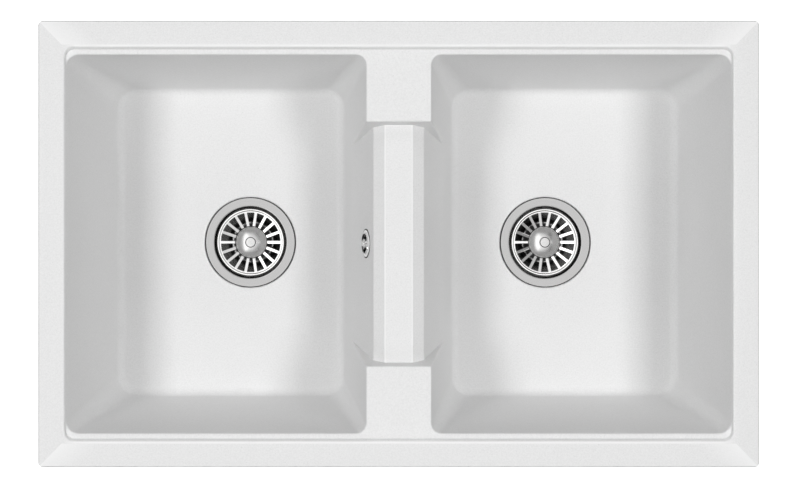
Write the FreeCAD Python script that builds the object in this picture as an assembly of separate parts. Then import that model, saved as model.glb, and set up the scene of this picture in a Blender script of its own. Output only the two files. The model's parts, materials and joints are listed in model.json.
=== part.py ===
import FreeCAD, Part
import math
import os

# Double-bowl kitchen sink of cast stone composite, set into a worktop from above, with its two basket
# strainer wastes, the overflow and the clamps that hold it down. Millimetres.
# The origin is the middle of the rim's underside: z = 0 is the worktop's top face, +X runs to the right
# bowl, +Y to the back and +Z up.

# Rim and deck
RIM_LENGTH = 809.0
RIM_DEPTH = 501.0
RIM_CORNER_RADIUS = 6.0
RIM_EDGE_HEIGHT = 4.0
RIM_CREST_HEIGHT = 9.5
RIM_SLOPE_RUN = 27.5
RIM_EDGE_ROUND = 1.6
END_FRAME_WIDTH = 31.5
LONG_FRAME_WIDTH = 29.9
CREST_ROUND = 2.4
DECK_HEIGHT = 4.5
DECK_THICKNESS = 10.5
DECK_CORNER_RADIUS = 10.0
LONG_STEP_RUN = 2.6
LEDGE_WIDTH = 5.65
END_LEDGE_WIDTH = 0.5

# Bowls
BOWL_DEPTH = 190.5
MOUTH_ROUND = 2.0
DIVIDER_WIDTH = 73.0
END_WALL_DRAFT = 7.0
LONG_WALL_DRAFT = 6.5
DIVIDER_WALL_DRAFT = 9.4
END_CORNER_RADIUS = 14.0
END_FLOOR_CORNER_RADIUS = 26.0
DIVIDER_CORNER_RADIUS = 12.0
DIVIDER_FLOOR_CORNER_RADIUS = 23.0
FLOOR_ROUND = 12.0
WALL_THICKNESS = 8.0
FLOOR_THICKNESS = 10.0

# Low saddle between the bowls
SADDLE_DROP = 15.5
SADDLE_TOP_WIDTH = 31.5
SHOULDER_DROP = 26.5
SHOULDER_WIDTH = 58.0
SADDLE_FOOT_DROP = 114.4
SADDLE_LENGTH = 274.5
SADDLE_FOOT_LENGTH = 233.0
SADDLE_END_ROUND = 2.0
SADDLE_EDGE_ROUND = 1.0
SHOULDER_ROUND = 4.0
SADDLE_THICKNESS = 8.0

# Seal strip under the rim
STRIP_INSET = 3.0
STRIP_WIDTH = 5.0
STRIP_THICKNESS = 1.5

# Strainer cup, a pressed steel bowl whose flange lies in a recess in the floor
DRAIN_OFFSET = 184.5
DRAIN_HOLE_RADIUS = 46.6
FLANGE_RADIUS = 56.5
FLANGE_INNER_RADIUS = 46.4
FLANGE_RISE = 0.6
FLANGE_EDGE_DROP = 0.7
RECESS_DEPTH = 2.0
RECESS_GAP = 1.0
CUP_SHEET = 1.0
CUP_RADIUS = 45.0
CUP_WALL_DEPTH = 14.0
CUP_WALL_ROUND = 7.0
SEAT_DEPTH = 36.0
SEAT_OUTER_RADIUS = 27.0
SEAT_ROUND = 3.0
THROAT_RADIUS = 18.5
THROAT_DEPTH = 43.0
THROAT_ROUND = 1.5
SPIDER_HUB_RADIUS = 8.0
SPIDER_ARM_WIDTH = 5.0
SPIDER_ARMS = 4

# Rubber rings that seal the cup to the floor, above and below
CUP_SEAL_INNER_RADIUS = 47.4
CUP_SEAL_OUTER_RADIUS = 54.9
BODY_SEAL_THICKNESS = 3.0
BODY_SEAL_OUTER_RADIUS = 54.5

# Waste body, moulded in plastic, drawn up under the floor
BODY_FLANGE_RADIUS = 56.0
BODY_FLANGE_THICKNESS = 4.0
BODY_RADIUS = 50.0
BODY_WALL = 3.2
BODY_DEPTH = 48.0
BODY_ROUND = 8.0
OUTLET_RADIUS = 23.9
OUTLET_BORE_RADIUS = 20.0
OUTLET_SHOULDER_RADIUS = 27.0
OUTLET_SHOULDER_THICKNESS = 3.0
CONE_END_DEPTH = 69.0
OUTLET_LENGTH = 25.0
HUB_RADIUS = 10.0
HUB_TOP_DEPTH = 50.0
HUB_HEIGHT = 14.0
RIB_THICKNESS = 2.6
RIB_HEIGHT = 9.0
HUB_RIBS = 4

# Bolt that draws the cup and the body together, and its hexagon nut
BOLT_RADIUS = 4.0
BOLT_HEAD_RADIUS = 7.0
BOLT_HEAD_HEIGHT = 4.4
BOLT_SOCKET_DEPTH = 3.2
BOLT_LENGTH = 23.0
BOLT_CLEARANCE = 0.2
NUT_WIDTH = 13.0
NUT_HEIGHT = 6.5
NUT_SEAT_CLEARANCE = 0.05

# Lift-out basket
BASKET_SHEET = 0.9
BASKET_RADIUS = 41.8
BASKET_TOP_DEPTH = 2.2
BASKET_RIM_WIDTH = 2.3
BASKET_RIM_HEIGHT = 2.8
BASKET_RIM_ROUND = 0.9
BASKET_SHOULDER_DROP = 1.6
BASKET_SHOULDER_RADIUS = 37.9
BASKET_FLOOR_RADIUS = 20.4
BASKET_FLOOR_DEPTH = 10.0
BASKET_BEND = 1.4
BASKET_STEP = 0.4
SLOTS = 18
SLOT_RIB_WIDTH = 3.4
SLOT_OUTER_RADIUS = 37.2
SLOT_INNER_RADIUS = 20.2

# Domed handle, its stem and the stopper under the basket
DOME_RADIUS = 19.6
DOME_HEIGHT = 7.0
DOME_SHEET = 1.0
KNOB_RADIUS = 6.8
KNOB_HEIGHT = 2.2
KNOB_ROUND = 0.6
STEM_RADIUS = 3.6
STEM_CLEARANCE = 0.1
STEM_COLLAR_RADIUS = 10.0
STEM_COLLAR_HEIGHT = 1.4
PEG_RADIUS = 3.0
PEG_CLEARANCE = 0.3
PEG_LENGTH = 3.6
STOPPER_RADIUS = 24.0
STOPPER_THICKNESS = 3.2
STOPPER_LIP_WIDTH = 3.0
STOPPER_LIP_HEIGHT = 1.2

# Overflow in the left bowl, under the saddle's shoulder
OVERFLOW_DROP = 55.0
OVERFLOW_HOLE_RADIUS = 13.0
ROSETTE_RADIUS = 17.0
ROSETTE_THICKNESS = 1.6
ROSETTE_CROWN = 1.4
ROSETTE_WINDOW_RADIUS = 11.4
ROSETTE_BAR_WIDTH = 6.6
ROSETTE_BOSS_RADIUS = 5.4
ROSETTE_SPIGOT_LENGTH = 4.0
ROSETTE_SPIGOT_GAP = 0.4
OVERFLOW_SCREW_RADIUS = 2.5
OVERFLOW_SCREW_HEAD_RADIUS = 4.2
OVERFLOW_SCREW_HEAD_HEIGHT = 1.5
OVERFLOW_SCREW_LENGTH = 19.0
SCREW_SLOT_WIDTH = 1.0
SCREW_SLOT_DEPTH = 0.8
OVERFLOW_SEAL_THICKNESS = 2.0
ELBOW_FLANGE_RADIUS = 18.5
ELBOW_FLANGE_THICKNESS = 3.0
ELBOW_RADIUS = 15.8
ELBOW_WALL = 2.5
ELBOW_DEPTH = 20.0
ELBOW_BOSS_RADIUS = 4.4
ELBOW_TAIL_LENGTH = 36.0

# Overflow hose, its two spigots and its clips
SPIGOT_RADIUS = 11.0
SPIGOT_BORE_RADIUS = 8.6
SPIGOT_LENGTH = 20.0
INLET_DEPTH = 30.0
HOSE_BORE_CLEARANCE = 0.15
HOSE_WALL = 1.3
HOSE_RIB_HEIGHT = 1.6
HOSE_RIB_PITCH = 4.0
HOSE_RIB_CREST_SHARE = 0.3
HOSE_RIB_FLANK_SHARE = 0.2
HOSE_CUFF_LENGTH = 19.0
HOSE_BEND_RADIUS = 58.0
HOSE_INLET_GAP = 8.0
CLIP_WIDTH = 8.0
CLIP_THICKNESS = 1.6
CLIP_LUG_LENGTH = 6.0
CLIP_LUG_HEIGHT = 5.0

# Clamps that grip the worktop from below: boss, brass insert, screw and swinging claw
LONG_SIDE_CLAMP_X = 205.0
CLAMP_BOSS_RADIUS = 6.0
CLAMP_BOSS_REACH = 5.0
CLAMP_BOSS_DEPTH = 24.0
INSERT_RADIUS = 3.6
INSERT_LENGTH = 13.0
CLAMP_SCREW_RADIUS = 2.5
INSERT_CLEARANCE = 0.05
CLAMP_SCREW_GRIP = 10.0
CLAMP_DEPTH = 50.0
CLAMP_HEAD_RADIUS = 4.6
CLAMP_HEAD_HEIGHT = 3.2
CLAMP_SLOT_LENGTH = 6.0
CLAMP_SHEET = 2.0
CLAMP_HOLE_CLEARANCE = 0.06
CLAMP_WIDTH = 12.0
CLAMP_ARM_LENGTH = 33.0
CLAMP_CLAW_RUN = 4.0
CLAMP_CLAW_RISE = 8.0
CLAMP_BEND = 3.0
CLAMP_HEAD_GAP = 0.1

# Overrun of every cutting tool past the face that it leaves through
OVERRUN = 12.0

# Levels and places that follow from the sizes above
DECK_Z = DECK_HEIGHT
FLOOR_Z = DECK_Z - BOWL_DEPTH
UNDERSIDE_Z = FLOOR_Z - FLOOR_THICKNESS
BOWL_END_X = RIM_LENGTH / 2 - END_FRAME_WIDTH
BOWL_BACK_Y = RIM_DEPTH / 2 - LONG_FRAME_WIDTH - LONG_STEP_RUN - LEDGE_WIDTH
FLANGE_FOOT = FLANGE_RISE - CUP_SHEET
BODY_TOP = -FLOOR_THICKNESS - BODY_SEAL_THICKNESS
STOPPER_TOP = STOPPER_THICKNESS - SEAT_DEPTH
DOME_TOP = DOME_HEIGHT - BASKET_FLOOR_DEPTH
BOLT_HEAD_BASE = CUP_SHEET - THROAT_DEPTH
HUB_FOOT = -HUB_TOP_DEPTH - HUB_HEIGHT
INLET_Z = FLOOR_Z - INLET_DEPTH
HOSE_BORE_RADIUS = SPIGOT_RADIUS + HOSE_BORE_CLEARANCE
HOSE_ROOT_RADIUS = HOSE_BORE_RADIUS + HOSE_WALL
HOSE_CREST_RADIUS = HOSE_ROOT_RADIUS + HOSE_RIB_HEIGHT

OUT = "parts"


def vec(x, y, z):
    """A point or direction."""
    return FreeCAD.Vector(x, y, z)


# Plane outlines with rounded corners


def unit(a, b):
    """Direction from point a to point b of a plane outline, and their distance."""
    length = math.hypot(b[0] - a[0], b[1] - a[1])
    return (b[0] - a[0]) / length, (b[1] - a[1]) / length, length


def corner(before, at, after, radius):
    """Ends and middle of the arc that rounds the corner of an outline."""
    ux, uy, _ = unit(at, before)
    vx, vy, _ = unit(at, after)
    half = math.acos(max(-1.0, min(1.0, ux * vx + uy * vy))) / 2
    reach = radius / math.tan(half)
    sx, sy, _ = unit((0, 0), (ux + vx, uy + vy))
    middle = radius / math.sin(half) - radius
    return (
        (at[0] + ux * reach, at[1] + uy * reach),
        (at[0] + sx * middle, at[1] + sy * middle),
        (at[0] + vx * reach, at[1] + vy * reach),
    )


def outline(points, closed=True, place=lambda a, b: vec(a, 0, b)):
    """A wire through points (a, b) or (a, b, corner radius), each set in space by place."""
    count = len(points)
    edges = []
    last = None
    first = None
    for i, p in enumerate(points):
        inner = closed or 0 < i < count - 1
        radius = p[2] if len(p) > 2 and inner else 0
        if radius:
            start, middle, end = corner(points[i - 1], p, points[(i + 1) % count], radius)
        else:
            start, middle, end = p, None, p
        a, b = place(*start[:2]), place(*end[:2])
        if last is not None and last.distanceToPoint(a) > Part.Precision.confusion():
            edges.append(Part.makeLine(last, a))
        if radius:
            edges.append(Part.Arc(a, place(*middle), b).toShape())
        first = first or a
        last = b
    if closed and last.distanceToPoint(first) > Part.Precision.confusion():
        edges.append(Part.makeLine(last, first))
    return Part.Wire(edges)


def thickened(points, thickness):
    """Closed outline of a sheet: the open path of points, and its parallel to the right of it."""
    shifted = []
    for i, p in enumerate(points):
        radius = p[2] if len(p) > 2 else 0
        before = unit(points[i - 1], p)[:2] if i else unit(p, points[i + 1])[:2]
        after = unit(p, points[i + 1])[:2] if i < len(points) - 1 else before
        turn = before[0] * after[1] - before[1] * after[0]
        along = 1 + before[0] * after[0] + before[1] * after[1]
        nx, ny = before[1] + after[1], -before[0] - after[0]
        far = (p[0] + nx * thickness / along, p[1] + ny * thickness / along)
        grown = max(radius + math.copysign(thickness, turn), 0) if radius else 0
        shifted.append((*far, grown))
    return list(points) + shifted[::-1]


def lathe(points):
    """Solid of revolution about Z of a closed outline of (radius, height)."""
    face = Part.Face(outline(points))
    return face.revolve(vec(0, 0, 0), vec(0, 0, 1), 360)


def ring(inner, outer, low, high):
    """Flat ring about Z between two heights."""
    body = Part.makeCylinder(outer, high - low, vec(0, 0, low))
    return body.cut(Part.makeCylinder(inner, high - low, vec(0, 0, low)))


def rod(radius, low, high):
    """Round rod about Z between two heights."""
    return Part.makeCylinder(radius, high - low, vec(0, 0, low))


def hexagon(width, low, high):
    """Hexagonal prism about Z, width across its flats."""
    reach = width / 2 / math.cos(math.pi / 6)
    turns = [i * math.pi / 3 for i in range(6)]
    corners = [vec(reach * math.cos(t), reach * math.sin(t), low) for t in turns]
    face = Part.Face(Part.makePolygon(corners + corners[:1]))
    return face.extrude(vec(0, 0, high - low))


def centred_box(x, y, low, high):
    """Box about the Z axis, x by y, between two heights."""
    return Part.makeBox(x, y, high - low, vec(-x / 2, -y / 2, low))


def rounded_slab(half_x, half_y, radius, low, high):
    """Slab with rounded upright corners."""
    wire = plan_wire((-half_x, half_x, -half_y, half_y), (radius, radius), low)
    return Part.Face(wire).extrude(vec(0, 0, high - low))


def plan_wire(box, radii, z):
    """Rectangle (x0, x1, y0, y1) at a height, its corners rounded by radii (at x0, at x1)."""
    x0, x1, y0, y1 = box
    points = [(x0, y0, radii[0]), (x1, y0, radii[1]), (x1, y1, radii[1]), (x0, y1, radii[0])]
    return outline(points, place=lambda a, b: vec(a, b, z))


def frustum(low_wire, high_wire):
    """Solid between two plan wires, with straight sides."""
    return Part.makeLoft([low_wire, high_wire], True, True)


def edges_where(shape, test):
    """Edges of a shape whose two ends both pass a test."""
    return [e for e in shape.Edges if all(test(v.Point) for v in e.Vertexes)]


def near(a, b):
    """Whether two lengths are the same size, to the modeller's precision."""
    return abs(a - b) < Part.Precision.approximation()


def mirrored(shape):
    """Mirror image across the sink's middle plane, left to right."""
    return shape.mirror(vec(0, 0, 0), vec(1, 0, 0))


def joined(shapes):
    """One clean solid from several that meet."""
    return shapes[0].fuse(list(shapes[1:])).removeSplitter()


def round_array(shape, count, start=0.0):
    """Copies of a shape turned evenly about Z."""
    copies = []
    for i in range(count):
        copy = shape.copy()
        copy.rotate(vec(0, 0, 0), vec(0, 0, 1), start + i * 360 / count)
        copies.append(copy)
    return copies


def moved(shape, x, y, z):
    """Copy of a shape at another place."""
    copy = shape.copy()
    copy.translate(vec(x, y, z))
    return copy


# Basin


def bowl_plan(z, grow):
    """Plan wire of the right bowl's drafted walls at a height, grown outwards by grow."""
    depth = DECK_Z - z
    share = depth / BOWL_DEPTH
    divider = DIVIDER_WIDTH / 2 + depth * math.tan(math.radians(DIVIDER_WALL_DRAFT)) - grow
    end = BOWL_END_X - depth * math.tan(math.radians(END_WALL_DRAFT)) + grow
    back = BOWL_BACK_Y - depth * math.tan(math.radians(LONG_WALL_DRAFT)) + grow
    divider_round = (1 - share) * DIVIDER_CORNER_RADIUS + share * DIVIDER_FLOOR_CORNER_RADIUS + grow
    end_round = (1 - share) * END_CORNER_RADIUS + share * END_FLOOR_CORNER_RADIUS + grow
    return plan_wire((divider, end, -back, back), (divider_round, end_round), z)


def bowl_block(grow, top, bottom):
    """Right bowl as a solid block, grown outwards all round by grow, its foot rounded."""
    block = frustum(bowl_plan(bottom, grow), bowl_plan(top, grow))
    foot = edges_where(block, lambda p: near(p.z, bottom))
    return block.makeFillet(FLOOR_ROUND + grow, foot)


def saddle_profile():
    """Right half of the saddle's section, from its top edge to its foot: (half width, height)."""
    foot_x = DIVIDER_WIDTH / 2 + SADDLE_FOOT_DROP * math.tan(math.radians(DIVIDER_WALL_DRAFT))
    return [
        (SADDLE_TOP_WIDTH / 2, DECK_Z - SADDLE_DROP),
        (SHOULDER_WIDTH / 2, DECK_Z - SHOULDER_DROP),
        (foot_x, DECK_Z - SADDLE_FOOT_DROP),
    ]


def both_halves(half):
    """A right-hand section and its mirror image, from left foot to right foot."""
    return [(-p[0], *p[1:]) for p in half[::-1]] + list(half)


def prism_y(points, half_length):
    """Closed XZ outline drawn out along Y, the same length each way."""
    wire = outline(points, place=lambda a, b: vec(a, -half_length, b))
    return Part.Face(wire).extrude(vec(0, 2 * half_length, 0))


def saddle_cut():
    """What the divider lacks over the saddle: open above, with ends that lean inwards."""
    top, shoulder, foot = saddle_profile()
    top = (*top, SADDLE_EDGE_ROUND)
    shoulder = (*shoulder, SHOULDER_ROUND)
    roof = RIM_CREST_HEIGHT + OVERRUN
    section = both_halves([top, shoulder, foot, (foot[0], roof)])
    cut = prism_y(section, SADDLE_LENGTH)
    lean = (SADDLE_LENGTH - SADDLE_FOOT_LENGTH) / 2 / SADDLE_FOOT_DROP
    top_half = SADDLE_LENGTH / 2 + (roof - DECK_Z) * lean
    foot_half = SADDLE_FOOT_LENGTH / 2
    ends = [(-foot_half, foot[1]), (foot_half, foot[1]), (top_half, roof), (-top_half, roof)]
    wire = outline(ends, place=lambda a, b: vec(-foot[0], a, b))
    return cut.common(Part.Face(wire).extrude(vec(2 * foot[0], 0, 0)))


def saddle_web():
    """Wall of even thickness that carries the saddle and its sides, hollow below."""
    top, shoulder, foot = saddle_profile()
    half_length = SADDLE_LENGTH / 2 + WALL_THICKNESS
    roof = DECK_Z - DECK_THICKNESS / 2
    solid = prism_y(both_halves([foot, (foot[0], roof)]), half_length)
    inner = thickened([top, shoulder, foot], SADDLE_THICKNESS)[3:][::-1]
    flat = (0, top[1] - SADDLE_THICKNESS)
    spread = (foot[0] - shoulder[0]) / (shoulder[1] - foot[1])
    below = (inner[-1][0] + OVERRUN * spread, inner[-1][1] - OVERRUN)
    crown = [(inner[0][0], flat[1]), inner[1][:2], below]
    hollow = prism_y(both_halves(crown), half_length + OVERRUN)
    return solid.cut(hollow)


def clamp_places():
    """Name, screw axis (x, y) and outward angle of each clamp: two on each long side, one at each end."""
    end_x = BOWL_END_X + WALL_THICKNESS + CLAMP_BOSS_REACH
    back_y = BOWL_BACK_Y + WALL_THICKNESS + CLAMP_BOSS_REACH
    return [
        ("clamp_back_left", -LONG_SIDE_CLAMP_X, back_y, 90),
        ("clamp_back_right", LONG_SIDE_CLAMP_X, back_y, 90),
        ("clamp_front_left", -LONG_SIDE_CLAMP_X, -back_y, 270),
        ("clamp_front_right", LONG_SIDE_CLAMP_X, -back_y, 270),
        ("clamp_left_end", -end_x, 0, 180),
        ("clamp_right_end", end_x, 0, 0),
    ]


def rim_pocket(half_x, half_y):
    """Room inside the rim: its long sides lean outwards from the deck up to the crest, its ends are plumb."""
    foot_y = half_y - LONG_STEP_RUN
    lean = LONG_STEP_RUN / (RIM_CREST_HEIGHT - DECK_Z)
    roof_y = half_y + OVERRUN * lean
    radii = (DECK_CORNER_RADIUS, DECK_CORNER_RADIUS)
    low = plan_wire((-half_x, half_x, -foot_y, foot_y), radii, DECK_Z)
    high = plan_wire((-half_x, half_x, -roof_y, roof_y), radii, RIM_CREST_HEIGHT + OVERRUN)
    shaft = rounded_slab(half_x, foot_y, DECK_CORNER_RADIUS, -OVERRUN, DECK_Z)
    return joined([shaft, frustum(low, high)])


def rim_frame():
    """Rim with a flat underside and four slopes that rise inwards to the crest and meet in mitres."""
    half_x, half_y = RIM_LENGTH / 2, RIM_DEPTH / 2
    high_x, high_y = half_x - RIM_SLOPE_RUN, half_y - RIM_SLOPE_RUN
    low = plan_wire((-half_x, half_x, -half_y, half_y), (0, 0), RIM_EDGE_HEIGHT)
    high = plan_wire((-high_x, high_x, -high_y, high_y), (0, 0), RIM_CREST_HEIGHT)
    base = centred_box(RIM_LENGTH, RIM_DEPTH, 0, RIM_EDGE_HEIGHT)
    rim = joined([base, frustum(low, high)])
    rim = rim.makeFillet(RIM_EDGE_ROUND, edges_where(rim, lambda p: near(p.z, RIM_EDGE_HEIGHT)))
    rim = rim.common(rounded_slab(half_x, half_y, RIM_CORNER_RADIUS, 0, RIM_CREST_HEIGHT))
    pocket_x, pocket_y = BOWL_END_X + END_LEDGE_WIDTH, half_y - LONG_FRAME_WIDTH
    frame = rim.cut(rim_pocket(pocket_x, pocket_y))
    # The slopes leave a narrow flat, so only the edge round the pocket touches it
    crest = edges_where(frame, lambda p: near(p.z, RIM_CREST_HEIGHT)
                        and abs(p.x) < pocket_x + CREST_ROUND / 2
                        and abs(p.y) < pocket_y + CREST_ROUND / 2)
    return frame.makeFillet(CREST_ROUND, crest)


def seal_groove(low):
    """Shallow groove, or the strip in it, all round the rim's underside."""
    half_x, half_y = RIM_LENGTH / 2 - STRIP_INSET, RIM_DEPTH / 2 - STRIP_INSET
    outer = rounded_slab(half_x, half_y, RIM_CORNER_RADIUS, low, STRIP_THICKNESS)
    inner_x, inner_y = half_x - STRIP_WIDTH, half_y - STRIP_WIDTH
    inner = rounded_slab(inner_x, inner_y, RIM_CORNER_RADIUS, low, STRIP_THICKNESS)
    return outer.cut(inner)


def drain_cut():
    """Hole through the bowl's floor with the recess for the strainer's flange, about Z from the floor."""
    hole = rod(DRAIN_HOLE_RADIUS, -FLOOR_THICKNESS - OVERRUN, OVERRUN)
    recess = rod(FLANGE_RADIUS + RECESS_GAP, -RECESS_DEPTH, OVERRUN)
    return hole.fuse(recess)


def overflow_frame():
    """Place on the saddle's left side where the overflow sits, its local +Z pointing into the bowl."""
    _, shoulder, foot = saddle_profile()
    share = (DECK_Z - OVERFLOW_DROP - shoulder[1]) / (foot[1] - shoulder[1])
    x = shoulder[0] + share * (foot[0] - shoulder[0])
    lean = math.atan2(foot[0] - shoulder[0], shoulder[1] - foot[1])
    turn = FreeCAD.Rotation(vec(0, 1, 0), math.degrees(lean) - 90)
    return FreeCAD.Placement(vec(-x, 0, DECK_Z - OVERFLOW_DROP), turn)


def at_overflow(shape):
    """Copy of a shape built about Z, set at the overflow."""
    copy = shape.copy()
    copy.Placement = overflow_frame().multiply(copy.Placement)
    return copy


def bowls():
    """Deck and both bowls, each mouth rounded, before the saddle is let into the divider."""
    slab_x, slab_y = BOWL_END_X + WALL_THICKNESS, BOWL_BACK_Y + WALL_THICKNESS
    slab_round = END_CORNER_RADIUS + WALL_THICKNESS
    slab = rounded_slab(slab_x, slab_y, slab_round, DECK_Z - DECK_THICKNESS, DECK_Z)
    shell = bowl_block(WALL_THICKNESS, DECK_Z - DECK_THICKNESS / 2, UNDERSIDE_Z)
    cavity = bowl_block(0, RIM_CREST_HEIGHT + OVERRUN, FLOOR_Z)
    body = joined([slab, shell, mirrored(shell), saddle_web()]).cut([cavity, mirrored(cavity)])
    mouths = edges_where(body, lambda p: near(p.z, DECK_Z)
                         and abs(p.x) < BOWL_END_X + WALL_THICKNESS / 2
                         and abs(p.y) < BOWL_BACK_Y + WALL_THICKNESS / 2)
    return body.makeFillet(MOUTH_ROUND, mouths)


def saddle_end_edges(shape):
    """Outward edges of the two blocks' end faces: up one bowl's wall, over the deck and down the other's."""
    lean = (SADDLE_LENGTH - SADDLE_FOOT_LENGTH) / 2 / SADDLE_FOOT_DROP
    draft = math.tan(math.radians(DIVIDER_WALL_DRAFT))
    found = []
    for edge in shape.Edges:
        first, last = edge.FirstParameter, edge.LastParameter
        points = [edge.valueAt(t) for t in (first, (first + last) / 2, last)]
        leaning = all(near(abs(p.y), SADDLE_LENGTH / 2 - (DECK_Z - p.z) * lean) for p in points)
        middle = points[1]
        wall = DIVIDER_WIDTH / 2 + (DECK_Z - middle.z) * draft
        outward = abs(middle.x) > wall - MOUTH_ROUND / 2 or middle.z > DECK_Z - MOUTH_ROUND
        if leaning and outward and abs(middle.x) < 2 * wall:
            found.append(edge)
    return found


def sink_basin():
    """One casting: rim, sunk deck, two drafted bowls, the low saddle between them and the clamp bosses."""
    body = bowls().cut(saddle_cut())
    body = body.makeFillet(SADDLE_END_ROUND, saddle_end_edges(body))
    places = [(x, y) for _, x, y, _ in clamp_places()]
    boss = rod(CLAMP_BOSS_RADIUS, -CLAMP_BOSS_DEPTH, RIM_EDGE_HEIGHT)
    outside = bowl_block(WALL_THICKNESS / 2, RIM_EDGE_HEIGHT, UNDERSIDE_Z)
    bosses = [moved(boss, x, y, 0).cut([outside, mirrored(outside)]) for x, y in places]
    casting = joined([rim_frame(), body, *bosses])

    drain = moved(drain_cut(), DRAIN_OFFSET, 0, FLOOR_Z)
    insert = rod(INSERT_RADIUS, -CLAMP_BOSS_DEPTH - OVERRUN, INSERT_LENGTH - CLAMP_BOSS_DEPTH)
    inserts = [moved(insert, x, y, 0) for x, y in places]
    overflow = at_overflow(rod(OVERFLOW_HOLE_RADIUS, -SADDLE_THICKNESS - OVERRUN, OVERRUN))
    return casting.cut([drain, mirrored(drain), seal_groove(-OVERRUN), overflow, *inserts]).removeSplitter()


def rim_seal_strip():
    """Closed-cell strip in the groove under the rim, flush with the underside."""
    return seal_groove(0)


# Strainer wastes, built about Z with the bowl's floor at z = 0


def strainer_cup():
    """Pressed cup: flat flange, rolled lip, drafted bowl, seat for the stopper and a spider for the bolt."""
    lip = FLANGE_INNER_RADIUS - CUP_RADIUS
    path = [
        (FLANGE_RADIUS, FLANGE_RISE - FLANGE_EDGE_DROP),
        (FLANGE_RADIUS - FLANGE_EDGE_DROP, FLANGE_RISE),
        (CUP_RADIUS, FLANGE_RISE, lip),
        (CUP_RADIUS, -CUP_WALL_DEPTH, CUP_WALL_ROUND),
        (SEAT_OUTER_RADIUS, -SEAT_DEPTH, SEAT_ROUND),
        (THROAT_RADIUS, -SEAT_DEPTH, THROAT_ROUND),
        (THROAT_RADIUS, -THROAT_DEPTH),
    ]
    cup = lathe(thickened([(p[0], p[1], *p[2:]) for p in path[::-1]], CUP_SHEET))
    low, high = -THROAT_DEPTH, CUP_SHEET - THROAT_DEPTH
    reach = THROAT_RADIUS + CUP_SHEET / 2
    arm = Part.makeBox(reach, SPIDER_ARM_WIDTH, CUP_SHEET, vec(0, -SPIDER_ARM_WIDTH / 2, low))
    spider = joined([rod(SPIDER_HUB_RADIUS, low, high), *round_array(arm, SPIDER_ARMS)])
    spider = spider.cut(rod(BOLT_RADIUS + BOLT_CLEARANCE, low, high))
    return joined([cup, spider])


def cup_seal():
    """Flat rubber ring between the flange and the recess in the floor."""
    return ring(CUP_SEAL_INNER_RADIUS, CUP_SEAL_OUTER_RADIUS, -RECESS_DEPTH, FLANGE_FOOT)


def body_seal():
    """Thick rubber ring between the floor's underside and the waste body."""
    return ring(CUP_SEAL_INNER_RADIUS, BODY_SEAL_OUTER_RADIUS, BODY_TOP, -FLOOR_THICKNESS)


def waste_body(with_inlet):
    """Moulded pot with a hole for its outlet and, where it takes the overflow, an inlet spigot towards +X."""
    inner_radius = BODY_RADIUS - BODY_WALL
    flange_low = BODY_TOP - BODY_FLANGE_THICKNESS
    outside = [
        (BODY_FLANGE_RADIUS, BODY_TOP),
        (BODY_FLANGE_RADIUS, flange_low),
        (BODY_RADIUS, flange_low),
        (BODY_RADIUS, -BODY_DEPTH, BODY_ROUND),
        (OUTLET_SHOULDER_RADIUS, -CONE_END_DEPTH),
    ]
    lining = [
        (OUTLET_BORE_RADIUS, -CONE_END_DEPTH),
        (OUTLET_BORE_RADIUS, BODY_WALL - CONE_END_DEPTH, BODY_WALL),
        (inner_radius, BODY_WALL - BODY_DEPTH, BODY_ROUND - BODY_WALL),
        (inner_radius, BODY_TOP),
    ]
    pot = lathe(outside + lining)
    core = lathe([(0, BODY_TOP), *outside, (0, -CONE_END_DEPTH)])
    rib_top = -HUB_TOP_DEPTH - BODY_WALL
    rib = Part.makeBox(BODY_RADIUS, RIB_THICKNESS, RIB_HEIGHT,
                       vec(0, -RIB_THICKNESS / 2, rib_top - RIB_HEIGHT))
    ribs = [r.common(core) for r in round_array(rib, HUB_RIBS, 180 / HUB_RIBS)]
    body = joined([pot, rod(HUB_RADIUS, HUB_FOOT, -HUB_TOP_DEPTH), *ribs])
    nut_room = hexagon(NUT_WIDTH + 2 * NUT_SEAT_CLEARANCE, HUB_FOOT - OVERRUN, HUB_FOOT + NUT_HEIGHT)
    nut_room = nut_room.common(rod(HUB_RADIUS, HUB_FOOT - OVERRUN, HUB_FOOT + NUT_HEIGHT))
    body = body.cut([rod(BOLT_RADIUS + BOLT_CLEARANCE, HUB_FOOT, -HUB_TOP_DEPTH), nut_room])
    if not with_inlet:
        return body
    reach = BODY_RADIUS + HOSE_INLET_GAP + SPIGOT_LENGTH
    start = inner_radius * math.cos(math.asin(SPIGOT_RADIUS / inner_radius))
    spigot = Part.makeCylinder(SPIGOT_RADIUS, reach - start, vec(start, 0, -INLET_DEPTH), vec(1, 0, 0))
    spigot = spigot.cut(rod(inner_radius, -BODY_DEPTH, BODY_TOP))
    bore = Part.makeCylinder(SPIGOT_BORE_RADIUS, reach, vec(0, 0, -INLET_DEPTH), vec(1, 0, 0))
    return joined([body, spigot]).cut(bore)


def waste_outlet():
    """Straight tube under the pot, with a shoulder that is welded to it."""
    shoulder_low = -CONE_END_DEPTH - OUTLET_SHOULDER_THICKNESS
    foot = shoulder_low - OUTLET_LENGTH
    return lathe([
        (OUTLET_SHOULDER_RADIUS, -CONE_END_DEPTH),
        (OUTLET_SHOULDER_RADIUS, shoulder_low),
        (OUTLET_RADIUS, shoulder_low),
        (OUTLET_RADIUS, foot),
        (OUTLET_BORE_RADIUS, foot),
        (OUTLET_BORE_RADIUS, -CONE_END_DEPTH),
    ])


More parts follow.
